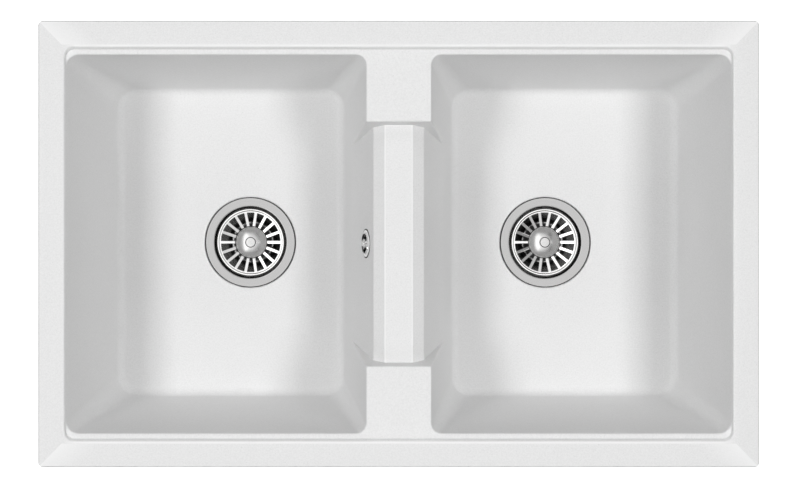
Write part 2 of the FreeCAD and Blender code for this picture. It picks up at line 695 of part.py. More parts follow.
def clamp_bolt():
    """Bolt down the middle, its head hollow to take the basket's peg."""
    head_top = BOLT_HEAD_BASE + BOLT_HEAD_HEIGHT
    shank = rod(BOLT_RADIUS, BOLT_HEAD_BASE - BOLT_LENGTH, BOLT_HEAD_BASE)
    head = rod(BOLT_HEAD_RADIUS, BOLT_HEAD_BASE, head_top)
    socket = rod(PEG_RADIUS + PEG_CLEARANCE, head_top - BOLT_SOCKET_DEPTH, head_top)
    slot = centred_box(2 * BOLT_HEAD_RADIUS, SCREW_SLOT_WIDTH, head_top - SCREW_SLOT_DEPTH, head_top)
    return joined([shank, head]).cut([socket, slot])


def bolt_nut():
    """Hexagon nut in the body's hub."""
    nut = hexagon(NUT_WIDTH, HUB_FOOT, HUB_FOOT + NUT_HEIGHT)
    return nut.cut(rod(BOLT_RADIUS + NUT_SEAT_CLEARANCE, HUB_FOOT, HUB_FOOT + NUT_HEIGHT))


def slot_wedge():
    """One slot of the basket: as wide as the pitch leaves between two ribs of even width, cut from above."""
    half_pitch = math.pi / SLOTS

    def half_width(radius):
        return radius * math.tan(half_pitch) - SLOT_RIB_WIDTH / 2 / math.cos(half_pitch)

    a, b = half_width(SLOT_INNER_RADIUS), half_width(SLOT_OUTER_RADIUS)
    points = [
        (SLOT_INNER_RADIUS, -a),
        (SLOT_OUTER_RADIUS, -b),
        (SLOT_OUTER_RADIUS, b),
        (SLOT_INNER_RADIUS, a),
    ]
    low = -BASKET_FLOOR_DEPTH - OVERRUN
    wire = outline(points, place=lambda x, y: vec(x, y, low))
    return Part.Face(wire).extrude(vec(0, 0, -low))


def basket():
    """Pressed basket: rolled rim, shoulder, slotted cone and a flat floor that carries the dome."""
    top = -BASKET_TOP_DEPTH
    rim_inner = BASKET_RADIUS - BASKET_RIM_WIDTH
    step_foot = top - BASKET_SHOULDER_DROP
    path = [
        (BASKET_RADIUS, top - BASKET_RIM_HEIGHT),
        (BASKET_RADIUS, top, BASKET_RIM_ROUND + BASKET_STEP),
        (rim_inner, top, BASKET_STEP),
        (rim_inner - BASKET_STEP, step_foot, BASKET_STEP),
        (BASKET_SHOULDER_RADIUS, step_foot, BASKET_BEND),
        (BASKET_FLOOR_RADIUS, -BASKET_FLOOR_DEPTH, BASKET_BEND),
        (STEM_RADIUS + STEM_CLEARANCE, -BASKET_FLOOR_DEPTH),
    ]
    sheet = lathe(thickened(path[::-1], BASKET_SHEET))
    return sheet.cut(round_array(slot_wedge(), SLOTS, 180 / SLOTS))


def basket_dome():
    """Domed steel cap on the basket's floor, open in the middle for the stem."""
    low = -BASKET_FLOOR_DEPTH
    sphere_radius = (DOME_RADIUS**2 + DOME_HEIGHT**2) / (2 * DOME_HEIGHT)
    centre = vec(0, 0, DOME_TOP - sphere_radius)
    outside = Part.makeSphere(sphere_radius, centre)
    inside = Part.makeSphere(sphere_radius - DOME_SHEET, centre)
    shell = outside.cut([inside, rod(STEM_RADIUS + STEM_CLEARANCE, low, DOME_TOP + OVERRUN)])
    flat_top = DOME_TOP - dome_flat_drop()
    return shell.common(rod(DOME_RADIUS, low, flat_top))


def dome_flat_drop():
    """How far the dome's crown is pressed flat under the knob."""
    sphere_radius = (DOME_RADIUS**2 + DOME_HEIGHT**2) / (2 * DOME_HEIGHT)
    return sphere_radius - math.sqrt(sphere_radius**2 - KNOB_RADIUS**2)


def basket_stem():
    """Turned stem: knob above the dome, collar over the stopper and the peg that centres in the bolt."""
    base = DOME_TOP - dome_flat_drop()
    peg_end = -SEAT_DEPTH - PEG_LENGTH
    points = [
        (0, base + KNOB_HEIGHT),
        (KNOB_RADIUS, base + KNOB_HEIGHT, KNOB_ROUND),
        (KNOB_RADIUS, base),
        (STEM_RADIUS, base),
        (STEM_RADIUS, STOPPER_TOP + STEM_COLLAR_HEIGHT),
        (STEM_COLLAR_RADIUS, STOPPER_TOP + STEM_COLLAR_HEIGHT),
        (STEM_COLLAR_RADIUS, STOPPER_TOP),
        (PEG_RADIUS, STOPPER_TOP),
        (PEG_RADIUS, peg_end, KNOB_ROUND),
        (0, peg_end),
    ]
    return lathe(points)


def basket_stopper():
    """Rubber disc with a raised lip that closes the throat when the basket is pressed home."""
    lip_top = STOPPER_TOP + STOPPER_LIP_HEIGHT
    points = [
        (PEG_RADIUS, -SEAT_DEPTH),
        (STOPPER_RADIUS - STOPPER_LIP_HEIGHT, -SEAT_DEPTH),
        (STOPPER_RADIUS, -SEAT_DEPTH + STOPPER_LIP_HEIGHT),
        (STOPPER_RADIUS, lip_top),
        (STOPPER_RADIUS - STOPPER_LIP_WIDTH, lip_top),
        (STOPPER_RADIUS - STOPPER_LIP_WIDTH, STOPPER_TOP),
        (PEG_RADIUS, STOPPER_TOP),
    ]
    return lathe(points)


# Overflow, built about Z with the wall's wet face at z = 0 and the bowl above it


def overflow_rosette():
    """Domed cover with two windows either side of the screw's bar, and a spigot in the wall's hole."""
    spigot_radius = OVERFLOW_HOLE_RADIUS - ROSETTE_SPIGOT_GAP
    outside = [
        (0, ROSETTE_THICKNESS + ROSETTE_CROWN),
        (ROSETTE_WINDOW_RADIUS, ROSETTE_THICKNESS + ROSETTE_CROWN / 2),
        (ROSETTE_RADIUS, ROSETTE_THICKNESS / 2),
        (ROSETTE_RADIUS, 0),
        (spigot_radius, 0),
        (spigot_radius, -ROSETTE_SPIGOT_LENGTH),
        (ROSETTE_WINDOW_RADIUS, -ROSETTE_SPIGOT_LENGTH),
        (ROSETTE_WINDOW_RADIUS, 0),
        (0, 0),
    ]
    body = lathe(outside)
    top = ROSETTE_THICKNESS + ROSETTE_CROWN
    window = rod(ROSETTE_WINDOW_RADIUS, -ROSETTE_SPIGOT_LENGTH, top)
    bar = centred_box(2 * ROSETTE_RADIUS, ROSETTE_BAR_WIDTH, -ROSETTE_SPIGOT_LENGTH, top)
    window = window.cut([bar, rod(ROSETTE_BOSS_RADIUS, -ROSETTE_SPIGOT_LENGTH, top)])
    screw_hole = rod(OVERFLOW_SCREW_RADIUS + STEM_CLEARANCE, 0, top)
    head_room = rod(OVERFLOW_SCREW_HEAD_RADIUS + STEM_CLEARANCE, top - OVERFLOW_SCREW_HEAD_HEIGHT, top)
    return body.cut([window, screw_hole, head_room])


def overflow_screw():
    """Slotted screw through the rosette into the elbow's boss."""
    top = ROSETTE_THICKNESS + ROSETTE_CROWN
    head_low = top - OVERFLOW_SCREW_HEAD_HEIGHT
    head = rod(OVERFLOW_SCREW_HEAD_RADIUS, head_low, top)
    shank = rod(OVERFLOW_SCREW_RADIUS, head_low - OVERFLOW_SCREW_LENGTH, head_low)
    slot = centred_box(2 * OVERFLOW_SCREW_HEAD_RADIUS, SCREW_SLOT_WIDTH, top - SCREW_SLOT_DEPTH, top)
    return joined([head, shank]).cut(slot)


def overflow_seal():
    """Rubber ring between the wall's dry face and the elbow."""
    inner = ELBOW_RADIUS - ELBOW_WALL
    low = -SADDLE_THICKNESS - OVERFLOW_SEAL_THICKNESS
    return ring(inner, ELBOW_FLANGE_RADIUS, low, -SADDLE_THICKNESS)


def elbow_axis_x():
    """Where the elbow's tail hangs: under the middle of its chamber."""
    top = -SADDLE_THICKNESS - OVERFLOW_SEAL_THICKNESS
    return overflow_frame().multVec(vec(0, 0, top - ELBOW_DEPTH / 2))


def overflow_elbow():
    """Chamber behind the wall with a boss for the screw and a tail that hangs plumb for the hose."""
    top = -SADDLE_THICKNESS - OVERFLOW_SEAL_THICKNESS
    foot = top - ELBOW_DEPTH
    chamber = joined([rod(ELBOW_FLANGE_RADIUS, top - ELBOW_FLANGE_THICKNESS, top),
                      rod(ELBOW_RADIUS, foot, top)])
    room = rod(ELBOW_RADIUS - ELBOW_WALL, foot + ELBOW_WALL, top)
    start = elbow_axis_x()
    tail = Part.makeCylinder(SPIGOT_RADIUS, ELBOW_TAIL_LENGTH, start, vec(0, 0, -1))
    tail_bore = Part.makeCylinder(SPIGOT_BORE_RADIUS, ELBOW_TAIL_LENGTH, start, vec(0, 0, -1))
    outside = joined([at_overflow(chamber), tail])
    hollow = outside.cut([at_overflow(room), tail_bore])
    boss = rod(ELBOW_BOSS_RADIUS, foot + ELBOW_WALL / 2, top)
    boss_rib = centred_box(2 * ELBOW_RADIUS - ELBOW_WALL, ELBOW_WALL, foot + ELBOW_WALL / 2, top - ELBOW_WALL)
    hollow = joined([hollow, at_overflow(boss.fuse(boss_rib))])
    screw_end = ROSETTE_THICKNESS + ROSETTE_CROWN - OVERFLOW_SCREW_HEAD_HEIGHT - OVERFLOW_SCREW_LENGTH
    thread = rod(OVERFLOW_SCREW_RADIUS + INSERT_CLEARANCE, screw_end - ELBOW_WALL / 2, top)
    return hollow.cut(at_overflow(thread))


# Hose between the elbow's tail and the left body's inlet


def hose_points():
    """Ends of the hose's straights and the middle of its one bend."""
    top = elbow_axis_x() + vec(0, 0, HOSE_CUFF_LENGTH - ELBOW_TAIL_LENGTH)
    end = vec(-DRAIN_OFFSET + BODY_RADIUS + HOSE_INLET_GAP, 0, INLET_Z)
    centre = vec(top.x - HOSE_BEND_RADIUS, 0, INLET_Z + HOSE_BEND_RADIUS)
    return top, centre, end


def hose_point(distance):
    """Point and direction on the hose's centreline, a distance from its upper end."""
    top, centre, end = hose_points()
    drop = top.z - centre.z
    bend = HOSE_BEND_RADIUS * math.pi / 2
    if distance <= drop:
        return top - vec(0, 0, distance), vec(0, 0, -1)
    if distance <= drop + bend:
        turn = (distance - drop) / HOSE_BEND_RADIUS
        arm = vec(math.cos(turn), 0, -math.sin(turn))
        return centre + arm * HOSE_BEND_RADIUS, vec(-math.sin(turn), 0, -math.cos(turn))
    return vec(centre.x - (distance - drop - bend), 0, INLET_Z), vec(-1, 0, 0)


def hose_length():
    """Length of the hose's centreline."""
    top, centre, end = hose_points()
    return top.z - centre.z + HOSE_BEND_RADIUS * math.pi / 2 + centre.x - end.x


def hose_circle(distance, radius):
    """Circle across the hose, its seam always towards +Y."""
    point, along = hose_point(distance)
    side = vec(0, 1, 0)
    turn = FreeCAD.Rotation(side, along.cross(side), along, "ZXY")
    edge = Part.makeCircle(radius)
    edge.Placement = FreeCAD.Placement(point, turn)
    return Part.Wire([edge])


def overflow_hose():
    """Ribbed hose with plain cuffs: each rib rises, runs flat and falls again."""
    length = hose_length()
    ribbed = length - 2 * HOSE_CUFF_LENGTH
    count = int(ribbed / HOSE_RIB_PITCH)
    pitch = ribbed / count
    rings = [hose_circle(0, HOSE_ROOT_RADIUS), hose_circle(HOSE_CUFF_LENGTH, HOSE_ROOT_RADIUS)]
    for i in range(count):
        start = HOSE_CUFF_LENGTH + i * pitch
        rise = HOSE_RIB_FLANK_SHARE * pitch
        crest = rise + HOSE_RIB_CREST_SHARE * pitch
        rings.append(hose_circle(start + rise, HOSE_CREST_RADIUS))
        rings.append(hose_circle(start + crest, HOSE_CREST_RADIUS))
        rings.append(hose_circle(start + crest + rise, HOSE_ROOT_RADIUS))
        rings.append(hose_circle(start + pitch, HOSE_ROOT_RADIUS))
    rings.append(hose_circle(length, HOSE_ROOT_RADIUS))
    outside = Part.makeLoft(rings, True, True)
    top, centre, end = hose_points()
    bend_start, bend_end = vec(top.x, 0, centre.z), vec(centre.x, 0, INLET_Z)
    middle, _ = hose_point(top.z - centre.z + HOSE_BEND_RADIUS * math.pi / 4)
    bend = Part.Arc(bend_start, middle, bend_end).toShape()
    path = Part.Wire([Part.makeLine(top, bend_start), bend, Part.makeLine(bend_end, end)])
    bore = path.makePipeShell([hose_circle(0, HOSE_BORE_RADIUS)], True, False)
    return outside.cut(bore)


def hose_clips():
    """Band clip round each of the hose's cuffs, with its screw lug."""
    clips = []
    for distance in (HOSE_CUFF_LENGTH / 2, hose_length() - HOSE_CUFF_LENGTH / 2):
        outer = HOSE_ROOT_RADIUS + CLIP_THICKNESS
        band = ring(HOSE_ROOT_RADIUS, outer, -CLIP_WIDTH / 2, CLIP_WIDTH / 2)
        lug = Part.makeBox(CLIP_LUG_HEIGHT, CLIP_LUG_LENGTH, CLIP_WIDTH,
                           vec(HOSE_ROOT_RADIUS + CLIP_THICKNESS / 2, -CLIP_LUG_LENGTH / 2, -CLIP_WIDTH / 2))
        clip = joined([band, lug])
        point, along = hose_point(distance)
        side = vec(0, 1, 0)
        clip.Placement = FreeCAD.Placement(point, FreeCAD.Rotation(side, along.cross(side), along, "ZXY"))
        clips.append(clip)
    return Part.makeCompound(clips)


# Clamps, built about the screw's axis with the worktop's plane at z = 0


def clamp_insert():
    """Brass insert moulded into a boss."""
    low, high = -CLAMP_BOSS_DEPTH, INSERT_LENGTH - CLAMP_BOSS_DEPTH
    return ring(CLAMP_SCREW_RADIUS + INSERT_CLEARANCE, INSERT_RADIUS, low, high)


def clamp_screw():
    """Screw up into the insert, with the claw on its slotted head."""
    head_low = -CLAMP_DEPTH - CLAMP_HEAD_HEIGHT
    shank = rod(CLAMP_SCREW_RADIUS, -CLAMP_DEPTH, CLAMP_SCREW_GRIP - CLAMP_BOSS_DEPTH)
    head = rod(CLAMP_HEAD_RADIUS, head_low, -CLAMP_DEPTH)
    slot = centred_box(CLAMP_SLOT_LENGTH, SCREW_SLOT_WIDTH, head_low, head_low + SCREW_SLOT_DEPTH)
    return joined([shank, head]).cut(slot)


def clamp_claw():
    """Steel claw: an arm with a turned-up end, parked along +X from its eye."""
    top = CLAMP_SHEET + CLAMP_HEAD_GAP - CLAMP_DEPTH
    path = [
        (0, top),
        (CLAMP_ARM_LENGTH, top, CLAMP_BEND),
        (CLAMP_ARM_LENGTH + CLAMP_CLAW_RUN, top + CLAMP_CLAW_RISE),
    ]
    wire = outline(thickened(path, CLAMP_SHEET), place=lambda a, b: vec(a, -CLAMP_WIDTH / 2, b))
    arm = Part.Face(wire).extrude(vec(0, CLAMP_WIDTH, 0))
    eye = rod(CLAMP_WIDTH / 2, top - CLAMP_SHEET, top)
    hole = rod(CLAMP_SCREW_RADIUS + CLAMP_HOLE_CLEARANCE, top - CLAMP_SHEET, top)
    return joined([arm, eye]).cut(hole)


def clamp_group(piece):
    """The same small piece at every clamp, as separate solids."""
    return Part.makeCompound([moved(piece, x, y, 0) for _, x, y, _ in clamp_places()])


def save(name, shape):
    """Writes one node's STEP file and prints its solids and volume."""
    valid = shape.isValid() and all(s.isClosed() for s in shape.Shells)
    print(name, "solids", len(shape.Solids), "volume", round(shape.Volume, 1), "valid", valid)
    shape.exportStep(os.path.join(OUT, name + ".step"))


def main():
    os.makedirs(OUT, exist_ok=True)
    save("sink_basin", sink_basin())
    save("rim_seal_strip", rim_seal_strip())
    for side, x in (("left", -DRAIN_OFFSET), ("right", DRAIN_OFFSET)):
        pieces = {
            "strainer_cup": strainer_cup(),
            "cup_seal": cup_seal(),
            "body_seal": body_seal(),
            "waste_body": waste_body(side == "left"),
            "waste_outlet": waste_outlet(),
            "clamp_bolt": clamp_bolt(),
            "bolt_nut": bolt_nut(),
            "basket": basket(),
            "basket_dome": basket_dome(),
            "basket_stem": basket_stem(),
            "basket_stopper": basket_stopper(),
        }
        for name, shape in pieces.items():
            save(f"{side}_{name}", moved(shape, x, 0, FLOOR_Z))
    save("overflow_rosette", at_overflow(overflow_rosette()))
    save("overflow_screw", at_overflow(overflow_screw()))
    save("overflow_seal", at_overflow(overflow_seal()))
    save("overflow_elbow", overflow_elbow())
    save("overflow_hose", overflow_hose())
    save("hose_clips", hose_clips())
    save("clamp_inserts", clamp_group(clamp_insert()))
    save("clamp_screws", clamp_group(clamp_screw()))
    for name, x, y, outward in clamp_places():
        claw = clamp_claw()
        claw.rotate(vec(0, 0, 0), vec(0, 0, 1), outward - 90)
        save(name, moved(claw, x, y, 0))


main()
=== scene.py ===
import json
import logging
import math
from collections.abc import Callable, Sequence
from dataclasses import dataclass
from enum import Enum
from functools import cache

import bpy
from mathutils import Matrix, Vector


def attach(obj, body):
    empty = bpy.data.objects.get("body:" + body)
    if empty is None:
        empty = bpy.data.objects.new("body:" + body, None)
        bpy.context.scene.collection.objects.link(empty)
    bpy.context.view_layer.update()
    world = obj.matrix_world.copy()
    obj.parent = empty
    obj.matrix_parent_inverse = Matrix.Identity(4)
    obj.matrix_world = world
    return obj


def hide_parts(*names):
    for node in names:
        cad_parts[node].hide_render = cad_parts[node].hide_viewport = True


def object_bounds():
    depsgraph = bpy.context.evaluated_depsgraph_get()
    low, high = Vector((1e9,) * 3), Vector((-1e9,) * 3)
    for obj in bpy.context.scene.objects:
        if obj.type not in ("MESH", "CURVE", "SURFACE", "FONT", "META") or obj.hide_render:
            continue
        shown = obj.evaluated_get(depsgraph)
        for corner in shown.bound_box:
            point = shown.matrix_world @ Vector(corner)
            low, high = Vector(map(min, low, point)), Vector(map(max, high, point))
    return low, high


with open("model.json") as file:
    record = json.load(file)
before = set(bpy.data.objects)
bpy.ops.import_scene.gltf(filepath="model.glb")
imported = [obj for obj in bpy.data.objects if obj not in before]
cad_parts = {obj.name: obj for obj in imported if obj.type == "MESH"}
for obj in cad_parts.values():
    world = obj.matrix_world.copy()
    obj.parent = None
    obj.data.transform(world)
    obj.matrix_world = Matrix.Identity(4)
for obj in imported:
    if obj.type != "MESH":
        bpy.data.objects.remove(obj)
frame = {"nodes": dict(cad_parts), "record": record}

# A double-bowl composite sink seen from straight above: every piece in metres, in the CAD model's frame

log = logging.getLogger("sink")
CAD_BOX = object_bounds()
MM = 0.001
MERGE_DISTANCE = 0.002 * MM
QUARTER_HANDLE = 0.5523
EDGE_BLUR = 0.4
NOISE_RANGE = (0.3, 0.7)
CLOUDS = 9.0
SPECK_PATCHES = 310.0
SMEARS = 300.0
WHITE = (1.0, 1.0, 1.0, 1.0)

Point = tuple[float, ...]
Piece = bpy.types.Object
Socket = bpy.types.NodeSocket
Sockets = bpy.types.NodeOutputs
Material = bpy.types.Material


class Side(Enum):
    """The two bowls, by the name that starts their pieces' names."""

    LEFT = "left"
    RIGHT = "right"

    @property
    def sign(self) -> int:
        """Which way along X the bowl lies."""
        return -1 if self is Side.LEFT else 1


class Slot(Enum):
    """Material slots of the record."""

    COMPOSITE = "white_composite"
    STEEL = "steel"
    CHROME = "chrome"
    RUBBER = "black_rubber"
    FOAM = "grey_foam"
    WHITE_PLASTIC = "white_plastic"
    GREY_PLASTIC = "grey_plastic"
    BRASS = "brass"
    ZINC = "zinc_steel"


# Node trees


@dataclass
class Graph:
    """A shader node tree with short calls that add nodes and wire them."""

    tree: bpy.types.NodeTree

    def feed(self, target: Socket, value: object) -> None:
        """Links a socket to an input, or sets the input's own value.

        Args:
            target: the input.
            value: a socket, a number or a colour.
        """
        if isinstance(value, Socket):
            self.tree.links.new(value, target)
        else:
            target.default_value = value

    def add(self, kind: str, feeds: dict[str, object] | None = None, **settings: object) -> Sockets:
        """Adds a node.

        Args:
            kind: the node's type without its ShaderNode prefix.
            feeds: sockets or values for its inputs, by their names.
            settings: attributes of the node.

        Returns:
            The new node's outputs.
        """
        node = self.tree.nodes.new(kind if kind.startswith("Node") else "ShaderNode" + kind)
        for name, value in settings.items():
            setattr(node, name, value)
        for name, value in (feeds or {}).items():
            self.feed(node.inputs[name], value)
        return node.outputs

    def math(self, operation: str, first: object, *others: object) -> Socket:
        """Carries a Math operation from left to right over sockets or numbers.

        Args:
            operation: the Math node's operation.
            first: the first value, or the only one.
            others: the values that follow it.

        Returns:
            The result's socket.
        """
        for other in others or (0.0,):
            node = self.tree.nodes.new("ShaderNodeMath")
            node.operation = operation
            self.feed(node.inputs[0], first)
            self.feed(node.inputs[1], other)
            first = node.outputs[0]
        return first

    def mix(self, share: object, first: Point | Socket, second: Point | Socket) -> Socket:
        """Mixes two colours.

        Args:
            share: factor, a socket or a number.
            first: colour at 0.
            second: colour at 1.

        Returns:
            The mixed colour's socket.
        """
        return self.add("Mix", {"Factor": share, "A": first, "B": second}, data_type="RGBA")["Result"]

    def ramp(self, value: Socket, low: Sequence[object], high: Sequence[object]) -> Socket:
        """Runs evenly from one value to another and stays at each of them beyond.

        Args:
            value: the socket that is followed.
            low: its lower limit and the result there.
            high: its upper limit and the result there.

        Returns:
            The result's socket.
        """
        limits = {"From Min": low[0], "From Max": high[0], "To Min": low[1], "To Max": high[1]}
        return self.add("MapRange", {"Value": value, **limits})["Result"]

    def spread(self, noise: Socket, low: float = NOISE_RANGE[0], high: float = NOISE_RANGE[1]) -> Socket:
        """Mask that runs from 0 to 1 where noise runs from low to high."""
        return self.ramp(noise, (low, 0.0), (high, 1.0))

    def noise(self, vector: Socket, scale: object, detail: float = 2.0, roughness: float = 0.5) -> Socket:
        """Noise about 0.5 on a vector, its scale a socket or a number."""
        feeds = {"Vector": vector, "Scale": scale, "Detail": detail, "Roughness": roughness}
        return self.add("TexNoise", feeds)["Fac"]

    def axes(self, coordinates: str = "Object") -> Sockets:
        """X, Y and Z of one kind of texture coordinates."""
        return self.add("SeparateXYZ", {"Vector": self.add("TexCoord")[coordinates]})

    def past(self, value: Socket, limit: float, blur: float = EDGE_BLUR) -> Socket:
        """Mask of where a length is past a limit, its edge blurred, both in millimetres."""
        half = blur / 2
        return self.ramp(value, ((limit - half) * MM, 0.0), ((limit + half) * MM, 1.0))

    def short(self, value: Socket, limit: float, blur: float = EDGE_BLUR) -> Socket:
        """Mask of where a length is short of a limit."""
        return self.math("SUBTRACT", 1.0, self.past(value, limit, blur))

    def band(self, value: Socket, limits: Point, blur: float = EDGE_BLUR) -> Socket:
        """Mask of where a length lies between two limits."""
        return self.math("MULTIPLY", self.past(value, limits[0], blur), self.short(value, limits[1], blur))

    def close(self, **outputs: Socket) -> bpy.types.NodeTree:
        """Ends a node group.

        Args:
            outputs: the numbers that it puts out.

        Returns:
            The group's node tree.
        """
        for label in outputs:
            self.tree.interface.new_socket(label, in_out="OUTPUT", socket_type="NodeSocketFloat")
        self.add("NodeGroupOutput", outputs)
        return self.tree


def rgba(grey: float, warmth: float = 0.0) -> Point:
    """A near-grey colour, its red raised and blue lowered by warmth."""
    return (grey * (1 + warmth), grey, grey * (1 - warmth), 1.0)


def effect(name: str, **inputs: float) -> tuple[Graph, Sockets]:
    """Starts a node group that several finishes share.

    Args:
        name: the group's name.
        inputs: its inputs' default values, the spaces in their names written as underscores.

    Returns:
        The group's graph, and its inputs as the graph reads them.
    """
    tree = bpy.data.node_groups.new(name, "ShaderNodeTree")
    for label, value in inputs.items():
        label = label.replace("_", " ")
        socket = tree.interface.new_socket(label, in_out="INPUT", socket_type="NodeSocketFloat")
        socket.default_value = value
    graph = Graph(tree)
    return graph, graph.add("NodeGroupInput")


@cache
def grain() -> bpy.types.NodeTree:
    """Fine grain on Object coordinates.

    Returns:
        The group, which puts out a height for bump, a mask of sparse specks and a soft cloud.
    """
    core, edge = 0.10, 0.22
    rare, common = 0.56, 0.60
    graph, given = effect("grain", Scale=900.0, Speck_Scale=420.0)
    place = graph.add("TexCoord")["Object"]
    cells = graph.add("TexVoronoi", {"Vector": place, "Scale": given["Speck Scale"]}, feature="F1")
    near = graph.ramp(cells["Distance"], (core, 1.0), (edge, 0.0))
    chosen = graph.spread(graph.noise(place, SPECK_PATCHES), rare, common)
    return graph.close(Height=graph.noise(place, given["Scale"], 3.0, 0.6),
                       Specks=graph.math("MULTIPLY", near, chosen),
                       Cloud=graph.noise(place, CLOUDS))


@cache
def turning() -> bpy.types.NodeTree:
    """Fine rings about an upright axis, as a lathe or a polishing wheel leaves them.

    Returns:
        The group, which puts out the rings' height, a coarser smear and the distance from the axis.
    """
    graph, given = effect("turning", Centre_X=0.0, Centre_Y=0.0, Rings=2600.0)
    x, y, z = graph.axes()
    across = graph.math("SUBTRACT", x, given["Centre X"])
    along = graph.math("SUBTRACT", y, given["Centre Y"])
    squares = [graph.math("MULTIPLY", length, length) for length in (across, along)]
    radius = graph.math("SQRT", graph.math("ADD", *squares))
    fine = graph.add("CombineXYZ", {"X": graph.math("MULTIPLY", radius, given["Rings"]),
                                    "Y": graph.math("MULTIPLY", z, given["Rings"])})
    wide = graph.add("CombineXYZ", {"X": graph.math("MULTIPLY", radius, SMEARS)})
    return graph.close(Height=graph.noise(fine["Vector"], 1.0, 1.0), Smear=graph.noise(wide["Vector"], 1.0),
                       Radius=radius)


# Finishes


@dataclass
class Finish:
    """A material under way: its graph and its Principled shader."""

    name: str

    def __post_init__(self) -> None:
        """Makes the material."""
        self.material = bpy.data.materials.new(self.name)
        self.material.use_nodes = True
        self.graph = Graph(self.material.node_tree)
        self.shader = self.material.node_tree.nodes["Principled BSDF"]

    def set(self, **values: object) -> None:
        """Sets or links the shader's sockets, their spaces written as underscores."""
        for name, value in values.items():
            self.graph.feed(self.shader.inputs[name.replace("_", " ")], value)

    def group(self, tree: bpy.types.NodeTree, **values: float) -> Sockets:
        """Places a shared effect, the spaces in its inputs' names written as underscores."""
        feeds = {name.replace("_", " "): value for name, value in values.items()}
        return self.graph.add("Group", feeds, node_tree=tree)

    def gloss(self, noise: Socket, low: float, high: float) -> None:
        """Lets the roughness follow noise between two values."""
        self.set(Roughness=self.graph.ramp(noise, (NOISE_RANGE[0], low), (NOISE_RANGE[1], high)))

    def bump(self, height: Socket, distance: float, strength: float) -> None:
        """Raises the surface by a height, up to a distance in metres."""
        feeds = {"Height": height, "Distance": distance, "Strength": strength}
        self.set(Normal=self.graph.add("Bump", feeds)["Normal"])


@dataclass(frozen=True)
class StoneComposite:
    """White cast stone: fine matt grain and sparse grey specks, with painted highlights on the crest, the
    saddle's edges and near the mitres, and painted shade along the rim's outer edge.
    """

    base: float = 0.80
    mottle: float = 0.995
    fleck: float = 0.64
    fleck_share: float = 0.35
    fleck_range: Point = (0.35, 0.65)
    speck: float = 0.50
    speck_share: float = 0.50
    painted_highlight: float = 0.88
    painted_edge_shade: float = 0.50
    grain_scale: float = 560.0
    roughness: Point = (0.43, 0.54)
    specular: float = 0.30
    relief: float = 0.00012
    strength: float = 0.5
    crest: Point = (220.6, 223.0)
    crest_half_length: float = 368.0
    crest_low: float = 7.5
    crest_blur: float = 2.2
    crest_fade: float = 12.0
    saddle_edge: Point = (14.9, 16.2)
    saddle_half_length: float = 134.0
    saddle_heights: Point = (-12.4, 0.0)
    outer_half_length: float = 403.3
    outer_half_depth: float = 249.3
    mitre_offset: float = 154.0
    mitre_fade: float = 45.0
    mitre_share: float = 0.8

    def edges(self, graph: Graph) -> tuple[Socket, Socket]:
        """Masks of the painted highlights on crest, saddle edges and mitres, and of the painted shade along
        the rim's outer edge.

        Args:
            graph: the material's node tree.

        Returns:
            The painted highlight mask and the painted shade mask.
        """
        x, y, z = graph.axes()
        side, deep = graph.math("ABSOLUTE", x), graph.math("ABSOLUTE", y)
        # Painted highlight along the crest's inner rounding, where gloss would catch the light.
        crest = graph.math("MULTIPLY", graph.band(deep, self.crest, self.crest_blur),
                           graph.short(side, self.crest_half_length, self.crest_fade),
                           graph.past(z, self.crest_low))
        # Painted highlights along the saddle's two top edges.
        saddle = graph.math("MULTIPLY", graph.band(side, self.saddle_edge),
                            graph.band(z, self.saddle_heights),
                            graph.short(deep, self.saddle_half_length))
        # Painted shade along the rim's outer edge, where its rounding turns away from the light.
        outer = graph.math("MAXIMUM", graph.past(side, self.outer_half_length),
                           graph.past(deep, self.outer_half_depth))
        # Painted highlight on the front and back bevels near the mitres, where a lamp's reflection would
        # fall.
        beyond = graph.math("SUBTRACT", side, deep, self.mitre_offset * MM)
        rising = graph.ramp(beyond, (-self.mitre_fade * MM, 0.0), (0.0, self.mitre_share))
        mitre = graph.math("MULTIPLY", rising, graph.short(beyond, 0.0), graph.past(deep, self.crest[1]),
                           graph.past(z, 0.0))
        return graph.math("MAXIMUM", mitre, crest, saddle), outer

    def make(self) -> Material:
        """Builds the material.

        Returns:
            The new material.
        """
        finish = Finish("white_composite")
        graph = finish.graph
        marks = finish.group(grain(), Scale=self.grain_scale)
        body = graph.mix(graph.spread(marks["Cloud"]), rgba(self.base * self.mottle), rgba(self.base))
        rough, calm = self.fleck_range
        flecks = graph.ramp(marks["Height"], (rough, self.fleck_share), (calm, 0.0))
        specks = graph.math("MULTIPLY", marks["Specks"], self.speck_share)
        stone = graph.mix(specks, graph.mix(flecks, body, rgba(self.fleck)), rgba(self.speck))
        # Painted highlights lighten the stone, and painted shade darkens the rim's outer edge.
        painted_highlight, painted_edge_shade = self.edges(graph)
        painted_edges = graph.mix(painted_edge_shade, graph.mix(painted_highlight, stone, rgba(self.painted_highlight)), rgba(self.painted_edge_shade))
        finish.set(Base_Color=painted_edges, Specular_IOR_Level=self.specular)
        finish.gloss(marks["Height"], *self.roughness)
        finish.bump(marks["Height"], self.relief, self.strength)
        return finish.material


